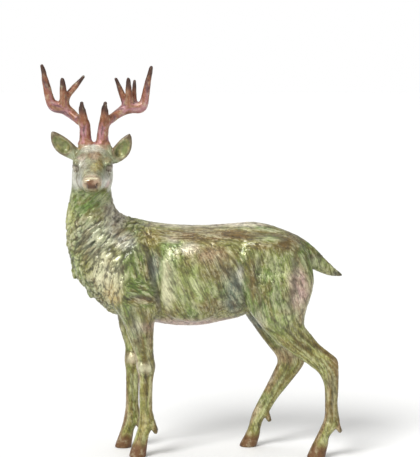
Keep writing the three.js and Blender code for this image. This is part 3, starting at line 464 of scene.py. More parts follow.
# The same on the head, on its own axes: forward, sideways and up.
HEAD_PATCHES = {
    "forehead": ((-16, 0, 20), (14, 16, 12), "mist", 0.75),
    "whorl": ((2, 2, 15.5), (9, 8.5, 8), "rose_brown", 0.85),
    "right temple": ((0, -13, 13), (9, 6, 8), "mauve", 0.6),
    "left brow": ((7, 19, 11), (9, 5, 6), "olive", 0.5),
    "right of the bridge": ((20, -12, 6), (15, 7, 10), "mist", 0.9),
    "bridge": ((18, 9, 8.5), (17, 5, 7), "mustard", 0.9),
    "middle of the bridge": ((28, 2.5, 9), (17, 6, 6), "straw", 0.8),
    "beside the nose": ((40, -9, 4), (12, 4, 6), "cream", 0.7),
    "left cheek": ((16, 20, -12), (20, 8, 14), "pearl_grey", 0.85),
    "left jaw": ((14, 19, -20), (9, 7, 6), "mauve", 0.8),
    "right cheek": ((14, -20, -12), (24, 9, 17), "pearl_grey", 0.85),
    "muzzle": ((56, 0, 0), (14, 16, 9), "rose_tan", 0.8),
    "chin": ((58, 0, -12), (18, 15, 5.5), "olive_brown", 0.8),
}
COLOURS = {
    "olive": (136, 136, 70), "green": (114, 134, 62), "leaf": (98, 126, 46),
    "lime": (160, 174, 100), "pale_olive": (180, 186, 114), "cream": (226, 222, 184),
    "pearl": (238, 226, 204), "pearl_grey": (200, 198, 188), "grey": (162, 168, 142),
    "slate": (100, 112, 106), "mauve": (198, 166, 158), "mauve_grey": (198, 190, 176),
    "pale_mauve": (222, 186, 182), "tan": (188, 158, 98), "straw": (180, 170, 92),
    "mustard": (140, 122, 50), "brown": (110, 74, 34), "dark_brown": (68, 46, 25),
    "olive_brown": (124, 102, 50), "rose_brown": (172, 140, 110), "dark": (42, 39, 22),
    "mist": (222, 222, 206), "rose_tan": (192, 164, 138), "rust": (138, 84, 48),
    "copper": (140, 82, 54), "pink_copper": (175, 125, 130), "tip": (57, 34, 25),
    "burr": (194, 135, 94), "hoof": (105, 65, 40), "nose": (120, 82, 56),
}
# Thin coats of colour, laid in turn: colour, strength and area, and then the pattern in it and
# the two values between which it comes in.
LEG_LAYERS = [
    ("olive", 0.5, "legs"),
    ("straw", 0.4, "legs"),
    ("leaf", 0.25, "legs", "other", 0.48, 0.38),
    ("pale_olive", 0.5, "legs", "streak", 0.52, 0.64),
    ("brown", 0.7, "legs", "from the middle", 0.66, 1.0),
    ("brown", 0.5, "legs", "from the front", 0.22, 0.05),
    ("rose_brown", 0.5, "legs", "other", 0.56, 0.66),
]
HEAD_LAYERS = [("grey", 0.8, "head")]
LAYERS = [
    ("leaf", 0.2, "coat", "other", 0.48, 0.38),
    ("olive_brown", 0.3, "coat", "streak", 0.47, 0.36),
    ("brown", 0.3, "coat", "both streaks", 0.2, 0.15),
    ("cream", 0.25, "coat", "streak", 0.54, 0.66),
    ("brown", 0.6, "ear"),
    ("grey", 0.6, "hollow"),
    ("olive", 0.5, "hollow"),
    ("green", 0.5, "hollow", "hairs", 0.52, 0.36),
    ("straw", 0.6, "hollow", "hairs", 0.52, 0.66),
    ("dark_brown", 0.7, "all", "from ear tips", 13, 3),
    # Painted shade in dark deep in the ear hollows, by their roots.
    ("dark", 0.8, "hollow", "from ear roots", 13, 7),
    ("pink_copper", 1.0, "antler"),
    ("copper", 1.0, "antler", "grain", 0.52, 0.64),
    ("rust", 0.9, "antler", "worn tips", 0.1, 0.5),
    ("tip", 0.7, "antler", "grain", 0.42, 0.3),
    ("rose_tan", 0.4, "antler", "grain", 0.62, 0.74),
    ("tip", 0.9, "antler", "tips", 0.62, 1.0),
    ("burr", 0.8, "all", "from burrs", 12, 8),
    ("hoof", 0.9, "all", "height", 24, 12),
    ("dark_brown", 0.7, "all", "from dewclaws", 11, 6),
    ("nose", 1.0, "nose"),
    ("rose_tan", 0.6, "left of the nose", "up", -1, 1),
    ("dark_brown", 0.85, "nose", "up", 0.5, -2),
    # A painted highlight in cream along the top of the nose pad.
    ("cream", 0.7, "nose", "up", 4.5, 6.5),
    ("brown", 0.8, "whorl", "forward", 4, -4),
    ("olive_brown", 0.4, "whorl", "forward", -4, 4),
    ("dark_brown", 0.8, "all", "from eyes", 1.5, 1.2),
    ("mauve_grey", 0.8, "all", "from eyes", 1.1, 0.9),
]
# The noise under them: its size in mm and its seed.
BROAD, MEDIUM, STREAK, OTHER, HAIRS = (30, 3), (12, 5), (4.2, 8), (9, 21), (3, 17)
BROKEN = {"medium": 0.7, "other": 0.45, "head": 0.8}  # how ragged the edges of the patches are
WHORL = {"forward": 2, "side": 2, "long": 1.1, "radius": 8, "width": 1.7, "rough": 4}
LEG_STREAK = {"middle": -0.1, "rough": 1.2, "front": 0.1, "fine": 0.6, "long": 2.5, "size": 0.8}
NOSE_PAD = {"side": 0.3, "slope": 0.25}
# The finish of the metal, with painted light in it: a pattern, the two values between which a
# colour comes in, how strongly, and the colour. The darker grooves of the tufts and carved lines
# are patina and painted shade, and their paler tips and ridges are rubbed metal and a painted
# highlight.
MARKS_AND_PAINTED_LIGHT = [
    ("blotch", 0.5, 0.34, 0.5, "olive_brown", "MULTIPLY"),
    ("blotch", 0.54, 0.7, 0.3, "cream", "MIX"),
    ("strands", 0.5, 0.34, 0.5, "dark", "MIX"),
    # Tufts: patina and painted shade in their grooves, rubbed metal and a painted highlight on their tips.
    ("tuft", 0.42, 0.05, 0.85, "dark", "MIX"),
    ("tuft", 0.5, 0.95, 0.7, "cream", "MIX"),
    # Carved lines: patina and painted shade in the grooves, rubbed metal and a painted highlight on the
    # ridges.
    ("line", -0.2, -1.4, 0.6, "dark", "MIX"),
    ("line", 0.2, 1.2, 0.5, "cream", "MIX"),
    ("speck", 0.4, 0.3, 0.35, "dark_brown", "MIX"),
]
BLOTCH, SPECK = (130.0, 4.0, 0.6), (600.0, 3.0, 0.6)  # scale, detail and roughness
DULL = {"from": 0.35, "to": 0.65, "low": 0.28, "high": 0.48, "bare": 0.1, "wet": 0.35}
BUMP = {"Strength": 0.7, "Distance": 0.0008}
BARE_STRAND = 0.5  # where the strands stand still, off the coat
BUMP_SPECK = 0.25
METALLIC = 0.3
COAT_ROUGHNESS = 0.2

FLOOR = 30.0
FLOOR_COLOUR = (0.86, 0.86, 0.85, 1.0)
FLOOR_ROUGHNESS = 0.6
ROOM = 0.42
WALL = 1.0
# The lamps: name, the way their light goes, how soft in degrees, and power.
LAMPS = [
    ("key", (0.55, 0.75, -0.9), 25, 2.7),
    ("fill", (-0.8, 0.7, -0.35), 60, 0.5),
    ("top", (0.1, -0.3, -1.0), 60, 0.8),
]
# Where the camera stands and what it looks at. The lens fills the picture's longer side.
CAMERA_AT = (0.02258, -2.01636, 0.49383)
CAMERA_TO = (0.02258, 0.02151, 0.29042)
LENS = 126.04
SENSOR = 36.0


def smooth_min(a, b, blend):
    """The lesser of two distances, rounded over where they differ by less than blend."""
    h = np.maximum(blend - np.abs(a - b), 0) / blend
    return np.minimum(a, b) - h * h * blend / 4


def smoothstep(value, low, high):
    t = np.clip((value - low) / (high - low), 0, 1)
    return t * t * (3 - 2 * t)


def edge(name, value):
    return smoothstep(value, *EDGES[name])


def mix(a, b, t):
    return a + (b - a) * t


class Field:
    """Signed distances on a grid, negative inside."""

    def __init__(self):
        self.counts = np.ceil((HIGH - LOW) / CELL).astype(int) + 1
        self.values = np.full(self.counts, FAR_AWAY, dtype=np.float32)

    def edit(self, shape, blend, change):
        box, distance = shape
        low = np.floor((np.array(box[0]) - blend - REACH - LOW) / CELL).astype(int)
        high = np.ceil((np.array(box[1]) + blend + REACH - LOW) / CELL).astype(int) + 1
        low = np.clip(low, 0, self.counts - 1)
        high = np.clip(high, 1, self.counts)
        window = tuple(slice(a, b) for a, b in zip(low, high))
        x, y, z = (LOW[k] + CELL * np.arange(low[k], high[k], dtype=np.float32) for k in range(3))
        far = distance(x[:, None, None], y[None, :, None], z[None, None, :])
        self.values[window] = change(self.values[window], far, blend)

    def add(self, shape, blend):
        self.edit(shape, blend, smooth_min)

    def cut(self, shape, blend):
        self.edit(shape, blend, lambda old, d, b: -smooth_min(-old, d, b))


def section_reader(table):
    """Reads a table of sections along smooth curves through its rows."""
    table = table[np.argsort(table[:, 0])]
    places = table[:, 0]
    after = np.minimum(np.arange(len(table)) + 1, len(table) - 1)
    before = np.maximum(np.arange(len(table)) - 1, 0)
    slopes = (table[after, 1:] - table[before, 1:]) / (places[after] - places[before])[:, None]

    def read(at):
        held = np.clip(at, places[0], places[-1])
        n = np.clip(np.searchsorted(places, held) - 1, 0, len(places) - 2)
        span = places[n + 1] - places[n]
        t = (held - places[n]) / span
        sections = []
        for column in range(4):
            a = table[n, column + 1]
            b = table[n + 1, column + 1]
            leave = slopes[n, column] * span
            arrive = slopes[n + 1, column] * span
            bend = (2 * a - 2 * b + leave + arrive) * t**3
            sections.append(bend + (3 * b - 3 * a - 2 * leave - arrive) * t**2 + leave * t + a)
        return sections + [np.abs(at - held)]

    return read


def oval_distance(u, v, half_u, half_v):
    """How far a point is outside an oval section, with u and v in half axes."""
    size = np.maximum((u**SQUARENESS + v**SQUARENESS) ** (1 / SQUARENESS), SMALL)
    fall_u = (u / size) ** (SQUARENESS - 1) / half_u
    fall_v = (v / size) ** (SQUARENESS - 1) / half_v
    return (size - 1) / np.maximum(np.hypot(fall_u, fall_v), TINY)


def loft(rows, axis, y=0):
    """A body lofted through its rows, along x or up z. A short row has its middle at y."""
    table = np.array([(*row, y)[:5] for row in rows], dtype=float)
    read = section_reader(table)
    low, high = table[:, 1:3].min(), table[:, 1:3].max()
    start, end = table[:, 0].min(), table[:, 0].max()
    width = (table[:, 3] + np.abs(table[:, 4])).max()
    if axis == "x":
        box = [(start, -width, low), (end, width, high)]
    else:
        box = [(low, -width, start), (high, width, end)]

    def distance(x, y, z):
        along, across = (x, z) if axis == "x" else (z, x)
        a, b, half, middle, beyond = read(along)
        reach = np.abs(a - b) / 2
        u = np.abs(across - (a + b) / 2) / reach
        v = np.abs(y - middle) / half
        in_plane = oval_distance(u, v, reach, half)
        past = np.hypot(np.maximum(in_plane, 0), beyond) + np.minimum(in_plane, 0) / END_FADE
        return np.where(beyond > 0, past, in_plane)

    return box, distance


def curved(beads):
    """The same beads with more between them, along a smooth curve through them all."""
    table = np.array(beads, dtype=float)
    held = np.vstack([table[:1], table, table[-1:]])
    finer = [table[0]]
    for a, b, c, d in zip(held, held[1:], held[2:], held[3:]):
        for step in range(1, BEAD_STEPS + 1):
            t = step / BEAD_STEPS
            bend = (3 * b - a - 3 * c + d) * t + (2 * a - 5 * b + 4 * c - d)
            finer.append(b + (t / 2) * (c - a + t * bend))
    return np.array(finer)


def chain(beads, thinness=1.0):
    """A row of tapered beads. Thinness is their depth along y over their radius."""
    points = curved(beads)
    radii = points[:, 3:4]
    box = [(points[:, :3] - radii).min(axis=0), (points[:, :3] + radii).max(axis=0)]

    def distance(x, y, z):
        least = FAR_AWAY
        for (ax, ay, az, ar), (bx, by, bz, br) in zip(points[:-1], points[1:]):
            length = (bx - ax) ** 2 + (by - ay) ** 2 + (bz - az) ** 2
            along = (x - ax) * (bx - ax) + (y - ay) * (by - ay) + (z - az) * (bz - az)
            t = np.clip(along / length, 0, 1)
            radius = mix(ar, br, t)
            u = np.hypot(x - mix(ax, bx, t), z - mix(az, bz, t)) / radius
            v = np.abs(y - mix(ay, by, t)) / (radius * thinness)
            size = np.hypot(u, v) + TINY
            fall = np.hypot(u / size / radius, v / size / (radius * thinness))
            least = np.minimum(least, (size - 1) / fall)
        return least

    return box, distance


def ball(at, radii, lean=0.0):
    """An oval ball with three radii. Lean turns it about y, from x towards z."""
    centre = np.array(at, dtype=float)
    reach = math.hypot(*radii)
    c, s = math.cos(math.radians(lean)), math.sin(math.radians(lean))

    def distance(x, y, z):
        dx, dz = x - at[0], z - at[2]
        u = (dx * c + dz * s) / radii[0]
        v = (y - at[1]) / radii[1]
        w = (dz * c - dx * s) / radii[2]
        size = np.sqrt(u * u + v * v + w * w) + TINY
        fall = np.sqrt((u / radii[0]) ** 2 + (v / radii[1]) ** 2 + (w / radii[2]) ** 2) / size
        return (size - 1) / fall

    return [centre - reach, centre + reach], distance


def head_axes():
    """The head's own axes as the columns of a turn: forward, sideways and up."""
    p, w = math.radians(HEAD_PITCH), math.radians(HEAD_YAW)
    pitch = np.array([[math.cos(p), 0, math.sin(p)], [0, 1, 0], [-math.sin(p), 0, math.cos(p)]])
    yaw = np.array([[math.cos(w), -math.sin(w), 0], [math.sin(w), math.cos(w), 0], [0, 0, 1]])
    return yaw @ pitch


def to_head(x, y, z):
    """A place in the figure, on the head's own axes."""
    turn = head_axes()
    dx, dy, dz = x - HEAD_AT[0], y - HEAD_AT[1], z - HEAD_AT[2]
    return tuple(dx * turn[0, k] + dy * turn[1, k] + dz * turn[2, k] for k in range(3))


def on_head(shape):
    """The same shape, moved from the head's own axes to its place in the figure."""
    box, distance = shape
    corners = np.array([[box[n >> k & 1][k] for k in range(3)] for n in range(8)])
    moved = corners @ head_axes().T + np.array(HEAD_AT)
    return [moved.min(axis=0), moved.max(axis=0)], lambda x, y, z: distance(*to_head(x, y, z))


def shape_forms(field, forms, place):
    for kind, (forward, side, up), radii, blend, *lean in forms.values():
        for way in (-1, 1) if side else (1,):
            shape = place(ball((forward, way * side, up), radii, *lean))
            if kind == "fill":
                field.add(shape, blend)
            else:
                field.cut(shape, blend)


def add_body(field):
    field.add(loft(TRUNK, "x"), BLEND["trunk"])
    field.add(loft(NECK, "z"), BLEND["neck"])
    field.add(chain(TAIL, TAIL_THINNESS), BLEND["tail"])
    shape_forms(field, BODY_FORMS, lambda shape: shape)
    for leg in LEGS:
        field.add(loft(leg["rows"], "z", leg["y"]), BLEND["leg"])


def claw_tip(leg):
    return leg["heel"], leg["y"], leg["claws"] - CLAW["low"]


def shape_feet(field):
    for leg in LEGS:
        x, y, z = claw_tip(leg)
        for side in (-1, 1):
            across = y + side * CLAW["spread"]
            root = (x - CLAW["length"], across, z + CLAW["drop"], CLAW["root"])
            field.add(chain([root, (x, across, z, CLAW["tip"])]), BLEND["claw"])
        toe = (leg["hoof"] - CLEFT["ahead"], y, CLEFT["low"], CLEFT["width"])
        top = (leg["hoof"] - CLEFT["back"], y, CLEFT["high"], CLEFT["end"])
        field.cut(chain([toe, top]), BLEND["cleft"])


def leaf(ear):
    """The broad part of an ear, beyond its root."""
    return ear[-4:]


def hollow_of(ear):
    rows = [
        (x, y - EAR_HOLLOW["forward"], z, max(r - EAR_HOLLOW["rim"], EAR_HOLLOW["least"]))
        for x, y, z, r in leaf(ear)
    ]
    return chain(rows, EAR_HOLLOW["thinness"])


def add_head(field):
    field.add(on_head(loft(SKULL, "x")), BLEND["skull"])
    shape_forms(field, HEAD_FORMS, on_head)
    for ear in EARS:
        field.add(chain(ear, EAR_THINNESS), BLEND["ear"])
        field.cut(hollow_of(ear), BLEND["hollow"])


def add_antlers(field):
    for antler in ANTLERS:
        x, y, z, _ = antler["beam"][0]
        field.add(ball((x, y, z + BURR["lift"]), BURR["radii"]), BLEND["tine"])
        field.add(chain(antler["beam"]), BLEND["antler"])
        for tine in antler["tines"]:
            field.add(chain(tine), BLEND["tine"])


def add_chest_locks(field):
    for x, y, z in CHEST_TIPS:
        root, bend = (
            (x + back, y, z + up, radius) for back, up, radius in (LOCK["root"], LOCK["bend"])
        )
        field.add(chain([root, bend, (x, y, z, LOCK["tip"])]), BLEND["lock"])


def corner_steps(axis):
    """The four grid lines of one cell that run along an axis, as offsets of their starts."""
    others = [k for k in range(3) if k != axis]
    for a in (0, 1):
        for b in (0, 1):
            step = [0, 0, 0]
            step[others[0]] = a
            step[others[1]] = b
            yield np.array(step)


def skin(field):
    """Turns the field into a mesh with one vertex in every cell that the surface crosses."""
    values = field.values
    inside = values < 0
    shape = np.array(values.shape) - 1
    total = np.zeros(shape, dtype=np.int8)
    for n in range(8):
        i, j, k = n & 1, n >> 1 & 1, n >> 2
        total += inside[i : shape[0] + i, j : shape[1] + j, k : shape[2] + k]
    crossed = (total > 0) & (total < 8)
    cells = np.argwhere(crossed)
    number = np.full(shape, -1, dtype=np.int32)
    number[crossed] = np.arange(len(cells))
    places = np.zeros((len(cells), 3))
    weights = np.zeros(len(cells))
    faces = []
    units = np.eye(3, dtype=int)
    for axis, unit in enumerate(units):
        for step in corner_steps(axis):
            start = cells + step
            a = values[tuple(start.T)]
            b = values[tuple((start + unit).T)]
            hit = (a < 0) != (b < 0)
            t = a[hit] / (a[hit] - b[hit])
            places[hit] += step + t[:, None] * unit
            weights[hit] += 1
        # Every grid line that the surface crosses carries one face between its four cells.
        first, second = units[(axis + 1) % 3], units[(axis + 2) % 3]
        lower = [slice(1, -1)] * 3
        upper = list(lower)
        upper[axis] = slice(2, None)
        starts = np.argwhere(inside[tuple(lower)] != inside[tuple(upper)]) + 1
        ring = [starts, starts - first, starts - first - second, starts - second]
        quads = np.stack([number[tuple(c.T)] for c in ring], axis=1)
        outward = inside[tuple(starts.T)]
        quads[~outward] = quads[~outward][:, ::-1]
        faces.append(quads)
    points = LOW + CELL * (cells + places / weights[:, None])
    quads = np.concatenate(faces)
    return points, np.concatenate([quads[:, [0, 1, 2]], quads[:, [0, 2, 3]]])


def largest_piece(points, triangles):
    """Keeps the outer skin, without any bubble inside."""
    label = np.arange(len(points))
    while True:
        low = label[triangles].min(axis=1)
        new = label.copy()
        for k in range(3):
            np.minimum.at(new, triangles[:, k], low)
        new = new[new]
        if np.array_equal(new, label):
            break
        label = new
    main = np.bincount(label[triangles[:, 0]]).argmax()
    kept = triangles[label[triangles[:, 0]] == main]
    used = np.unique(kept)
    number = np.zeros(len(points), dtype=int)
    number[used] = np.arange(len(used))
    return points[used], number[kept]


def vertex_normals(points, triangles):
    a, b, c = (points[triangles[:, k]] for k in range(3))
    flat = np.cross(b - a, c - a)
    normals = np.zeros_like(points)
    for k in range(3):
        for axis in range(3):
            normals[:, axis] += np.bincount(triangles[:, k], flat[:, axis], len(points))
    return normals / np.maximum(np.linalg.norm(normals, axis=1), TINY)[:, None]


def tree_of(points):
    tree = KDTree(len(points))
    for n, point in enumerate(points):
        tree.insert(point, n)
    tree.balance()
    return tree


def nearest(points, places):
    gaps = [np.linalg.norm(points - np.array(place[:3]), axis=1) for place in places]
    return np.min(gaps, axis=0)


def scatter(i, j, salt):
    """A repeatable scatter between 0 and 1 for one place in a pattern."""
    a, b, c, size = SCATTER
    s = np.sin(i * a + j * b + salt * c) * size
    return s - np.floor(s)


def noise(points, size, seed):
    """Smooth noise between 0 and 1, with features of about one size."""
    scaled = points / size + seed * NOISE_SHIFTS[0]
    base = np.floor(scaled)
    t = scaled - base
    t = t * t * (3 - 2 * t)
    result = 0
    for n in range(8):
        corner = np.array([n & 1, n >> 1 & 1, n >> 2])
        weight = np.prod(np.where(corner, t, 1 - t), axis=1)
        i, j, k = (base + corner).T
        result = result + weight * scatter(i + NOISE_SHIFTS[1] * k, j, seed)
    return result


def layered_noise(points, size, seed, layers=3):
    total = sum(noise(points, size / 2**n, seed + n) / 2**n for n in range(layers))
    return total / sum(1 / 2**n for n in range(layers))


def mane_share(points):
    """Where the coat lies as the mane does: 1 on the neck and chest, fading over the shoulder."""
    x, _, z = points.T
    ahead = edge("mane ahead", MANE_EDGE["back"] * (z - MANE_EDGE["level"]) - x)
    return ahead * edge("mane above", z + MANE_EDGE["low"] * x) * edge("mane top", z)


def lock_share(points):
    """Where the mane stands up in locks, below the smooth throat."""
    return mane_share(points) * edge("smooth throat", points[:, 2])


def head_share(points):
    return edge("head above", points[:, 2])


def leg_share(points):
    return edge("leg", points[:, 2])


def coat_shares(points):
    """How far each place belongs to each way of lying, the shares adding up to 1."""
    x, _, z = points.T
    mane = mane_share(points)
    high = edge("high on the neck", z)
    back = edge("back above", z) * edge("back behind", x) * (1 - mane)
    left = 1 - mane - back
    elbow = edge("elbow behind", x) * edge("elbow ahead", x)
    elbow = elbow * edge("elbow above", z) * edge("elbow below", z) * left
    left = left - elbow
    ribs = edge("ribs behind", x) * edge("ribs ahead", x) * edge("ribs above", z) * left
    return {
        "neck": mane * high,
        "chest": mane * (1 - high),
        "elbow": elbow,
        "ribs": ribs,
        "back": back,
        "down": left - ribs,
    }


def eye_distance(points):
    """Distance from the middle of the nearer eye, in its own radii."""
    forward, side, up = to_head(*points.T)
    _, at, radii, _ = HEAD_FORMS["eye"]
    offsets = zip((forward, np.abs(side), up), at, radii)
    return np.sqrt(sum(((place - middle) / radius) ** 2 for place, middle, radius in offsets))


def bare_share(points):
    """Where there is no coat: the antlers, the hooves, the nose, the eyes and the ears."""
    x, y, z = points.T
    forward, _, _ = to_head(x, y, z)
    nose = edge("nose ahead", forward) * edge("nose above", z)
    ears = edge("ear aside", np.abs(x - HEAD_AT[0])) * edge("ear above", z)
    eyes = edge("by the eye", eye_distance(points))
    return np.max([edge("antler above", z), edge("hoof", z), nose, ears, eyes], axis=0)


def nose_share(points):
    """The bare pad of the nose, narrower at the bottom."""
    forward, side, up = to_head(*points.T)
    aside = np.abs(side - NOSE_PAD["side"]) - NOSE_PAD["slope"] * up
    wide = edge("pad aside", aside) * edge("pad above", up)
    return edge("nose ahead", forward) * wide * head_share(points)


def knee_share(points):
    """Where the forelegs thicken into their knees."""
    height = (points[:, 2] - KNEE["z"]) / KNEE["half"]
    return (points[:, 0] < 0) * leg_share(points) * np.exp(-(height**2))


def antler_share(points):
    x, y, z = points.T
    lowest = ANTLERS[0]["beam"][0][2]
    gaps = [chain(antler["beam"])[1](x, y, z) for antler in ANTLERS]
    stems = edge("stem", np.min(gaps, axis=0)) * edge("stem above", z - lowest)
    return np.maximum(stems, edge("crown above", z))


def ear_shares(points):
    """The ears, and the hollows inside them."""
    ears = [chain(leaf(ear), EAR_THINNESS)[1](*points.T) for ear in EARS]
    hollows = [hollow_of(ear)[1](*points.T) for ear in EARS]
    return edge("ear", np.min(ears, axis=0)), edge("hollow", np.min(hollows, axis=0))


def leg_places(points):
    """Where each place is on its leg: from its front, -1, to its back, 1, its slope, and mm."""
    x, y, z = points.T
    across, slope, behind = np.zeros((3, len(points)))
    for leg in LEGS:
        heights, front, back = np.array([row[:3] for row in sorted(leg["rows"])], dtype=float).T
        middle = (front + back) / 2
        mine = (y * leg["y"] > 0) & (x * leg["hoof"] > 0)
        offset = x - np.interp(z, heights, middle)
        behind = np.where(mine, offset, behind)
        across = np.where(mine, offset / np.interp(z, heights, (back - front) / 2), across)
        slope = np.where(mine, np.interp(z, heights, np.gradient(middle, heights)), slope)
    return across, slope, behind


def streaks(points, shares, size, seed, drawn_out=4.0, layers=3):
    """Noise drawn out along the lie of the coat."""
    total = 0
    for name, part in shares.items():
        along = np.array(FLOWS[name]) / np.linalg.norm(FLOWS[name])
        pressed = points - (points @ along)[:, None] * along * (1 - 1 / drawn_out)
        total = total + part * layered_noise(pressed, size, seed, layers)
    _, y, z = points.T
    _, _, behind = leg_places(points)
    down_leg = np.column_stack([behind, y, z / (LEG_STREAK["long"] * drawn_out)])
    along_legs = layered_noise(down_leg, size * LEG_STREAK["size"], seed, layers)
    return mix(total, along_legs, leg_share(points))


def hair_lines(points):
    """Wavy grooves between strands that follow the coat: 1 in a groove and 0 beside it."""
    shares = coat_shares(points)
    deepest = np.zeros(len(points))
    for size, seed in HAIR_LAYERS:
        crossing = np.abs(streaks(points, shares, size, seed, HAIR_DRAWN_OUT, 1) - 0.5)
        deepest = np.maximum(deepest, 1 - smoothstep(crossing, 0, HAIR_WIDTH))
    return deepest * (1 - bare_share(points)) * (1 - head_share(points))


def lean_shift(z):
    return LEAN_LOW * (z - LEAN_FROM) + (LEAN_HIGH - LEAN_LOW) * np.maximum(z - LEAN_FROM, 0)


def clump_height(across, along):
    """How far the clumps of the mane stand out: pointed tongues, each lying on the next."""
    best = np.zeros_like(across)
    row = np.floor(along / CLUMP["row"])
    for back in range(-3, 2):
        i = row + back
        odd = np.mod(i, 2) / 2
        column = np.round(across / CLUMP["column"] - odd)
        for aside in (-1, 0, 1):
            j = column + aside
            middle = (j + odd + (scatter(i, j, 1) - 0.5) * CLUMP["aside"]) * CLUMP["column"]
            start = (i + (scatter(i, j, 2) - 0.5) * CLUMP["ahead"]) * CLUMP["row"]
            v = (along - start) / CLUMP["length"]
            taper = np.clip((1 - v) * CLUMP["taper"], SMALL, 1) ** CLUMP["point"]
            u = np.abs(across - middle) / (CLUMP["width"] / 2 * taper)
            lift = mix(CLUMP["root"], 1, v) * edge("clump tip", v)
            height = CLUMP["height"] * lift * (1 - u * u)
            best = np.where((v > 0) & (v < 1) & (u < 1), np.maximum(best, height), best)
    return best


def raise_clumps(points, normals):
    """Lifts the clumps of the mane. Returns the new places and how far out of the grooves each is."""
    share = lock_share(points)
    x, y, z = points.T
    around = np.arctan2(y, NECK_ROUND["x"] - x) * NECK_ROUND["radius"]
    lean = np.sign(around) * np.minimum(np.abs(around) / NECK_ROUND["parting"], 1)
    across = around - lean * lean_shift(z)
    height = clump_height(across, NECK_ROUND["top"] - z)
    out = share * (height - CLUMP["height"] * CLUMP["sunk"])
    shade = mix(1, edge("clump shade", height / CLUMP["height"]), share)
    return points + normals * out[:, None], shade


def carve(points, normals):
    """How far the carved lines and ridges lift the surface at each place."""
    x, y, z = points.T
    facing = edge("facing sideways", np.abs(normals[:, 1])) * (1 - mane_share(points))
    rise = np.zeros(len(points))
    for side, way, width, depth in LINES:
        here = facing * (1.0 if side == BOTH else (y * side > 0))
        corners = curved(way)
        gap = np.full(len(points), FAR_AWAY)
        along = np.zeros(len(points))
        for n, ((ax, az), (bx, bz)) in enumerate(zip(corners[:-1], corners[1:])):
            length = (bx - ax) ** 2 + (bz - az) ** 2
            t = np.clip(((x - ax) * (bx - ax) + (z - az) * (bz - az)) / length, 0, 1)
            reach = np.hypot(x - mix(ax, bx, t), z - mix(az, bz, t))
            along = np.where(reach < gap, (n + t) / (len(corners) - 1), along)
            gap = np.minimum(gap, reach)
        ends = edge("line ends", np.minimum(along, 1 - along))
        rise -= depth * ends * here * np.exp(-((gap / width) ** 2))
    return rise


def tuft_sizes(points):
    """Length, half width, height, share kept and depth of the grooves, at each place."""
    x, _, z = points.T
    mane = lock_share(points)
    head = head_share(points)
    shoulder = edge("shoulder ahead", -x) * edge("shoulder above", z)
    small = np.maximum(edge("short coat", z), head)
    sizes = {}
    for key in MANE:
        size = mix(BODY[key], SHOULDER[key], shoulder)
        sizes[key] = mix(mix(size, LEG[key], small), MANE[key], mane)
    sizes["height"] = sizes["height"] * (1 - bare_share(points)) * mix(1, TUFT["on head"], head)
    return sizes


def lay_of_coat(points, normals):
    """The direction in which the coat lies, along the surface."""
    shares = coat_shares(points)
    lie = sum(shares[name][:, None] * np.array(FLOWS[name]) for name in FLOWS)
    _, slope, _ = leg_places(points)
    down_leg = np.column_stack([-slope, np.zeros(len(points)), -np.ones(len(points))])
    lie = mix(lie, down_leg, leg_share(points)[:, None])
    on_face = np.array([0, 0, HEAD_FLOW["up"]]) - HEAD_FLOW["back"] * head_axes()[:, 0]
    head = head_share(points)[:, None]
    lie = lie * (1 - head) + head * on_face
    lie = lie - normals * np.sum(lie * normals, axis=1)[:, None]
    return lie / np.maximum(np.linalg.norm(lie, axis=1), TINY)[:, None]


def comb(points, normals, rng):
    """Lays tufts over the coat. Returns how far each vertex rises and its share of a tuft."""
    rise = np.zeros(len(points))
    share = np.zeros(len(points))
    tree = tree_of(points)
    order = rng.permutation(len(points))
    boxes = np.floor(points[order] / TUFT["pitch"]).astype(int)
    _, firsts = np.unique(boxes, axis=0, return_index=True)
    chosen = order[firsts]
    sizes = tuft_sizes(points[chosen])
    kept = rng.uniform(0, 1, len(chosen)) < sizes["keep"]
    chosen = chosen[kept]
    scales = np.column_stack([sizes[key][kept] for key in ("length", "half", "height")])
    lies = lay_of_coat(points[chosen], normals[chosen])
    turns = rng.normal(0, TUFT["turn"], len(chosen))
    grown = scales * rng.uniform(TUFT["least"], TUFT["most"], (len(chosen), 3))
    bends = rng.normal(0, TUFT["bend"], len(chosen))
    for n, at in enumerate(chosen):
        if scales[n, 2] < TUFT["low"]:
            continue
        length, half, height = grown[n]
        normal = normals[at]
        side = np.cross(normal, lies[n])
        lie = lies[n] * math.cos(turns[n]) + side * math.sin(turns[n])
        side = np.cross(normal, lie)
        near = np.array([found[1] for found in tree.find_range(points[at], length * TUFT["reach"])])
        gap = points[near] - points[at]
        v = gap @ lie / length + 0.5
        width = half * np.clip(TUFT["taper"] * (1 - v), SMALL, 1)
        width = width * np.clip(TUFT["root"] + TUFT["swell"] * v, 0, 1)
        u = (gap @ side - bends[n] * length * v * v) / width
        good = (v > 0) & (v < 1) & (np.abs(u) < 1) & (normals[near] @ normal > TUFT["facing"])
        near, u, v = near[good], u[good], v[good]
        round_top = (1 - u * u) ** TUFT["round"]
        lift = mix(TUFT["rise"], 1, v) * edge("tuft tip", v) * round_top
        higher = height * lift > rise[near]
        rise[near[higher]] = (height * lift)[higher]
        share[near[higher]] = lift[higher]
    return rise, share


def antler_places(points):
    """Each place by the nearest stem of an antler: across it both ways, then along it."""
    places = points.copy()
    best = np.full(len(points), FAR_AWAY)
    for antler in ANTLERS:
        for stem in [antler["beam"], *antler["tines"]]:
            beads = curved(stem)
            gone = 0
            for start, end in zip(beads[:-1], beads[1:]):
                length = np.linalg.norm(end[:3] - start[:3])
                way = (end[:3] - start[:3]) / length
                side = np.cross(way, (0, 1, 0))
                offset = points - start[:3]
                along = np.clip(offset @ way, 0, length)
                gap = np.linalg.norm(offset - along[:, None] * way, axis=1)
                gap = gap - mix(start[3], end[3], along / length)
                closer = gap < best
                best = np.minimum(best, gap)
                around = np.column_stack([offset @ side, points[:, 1], gone + along])
                places[closer] = around[closer]
                gone += length
    return places


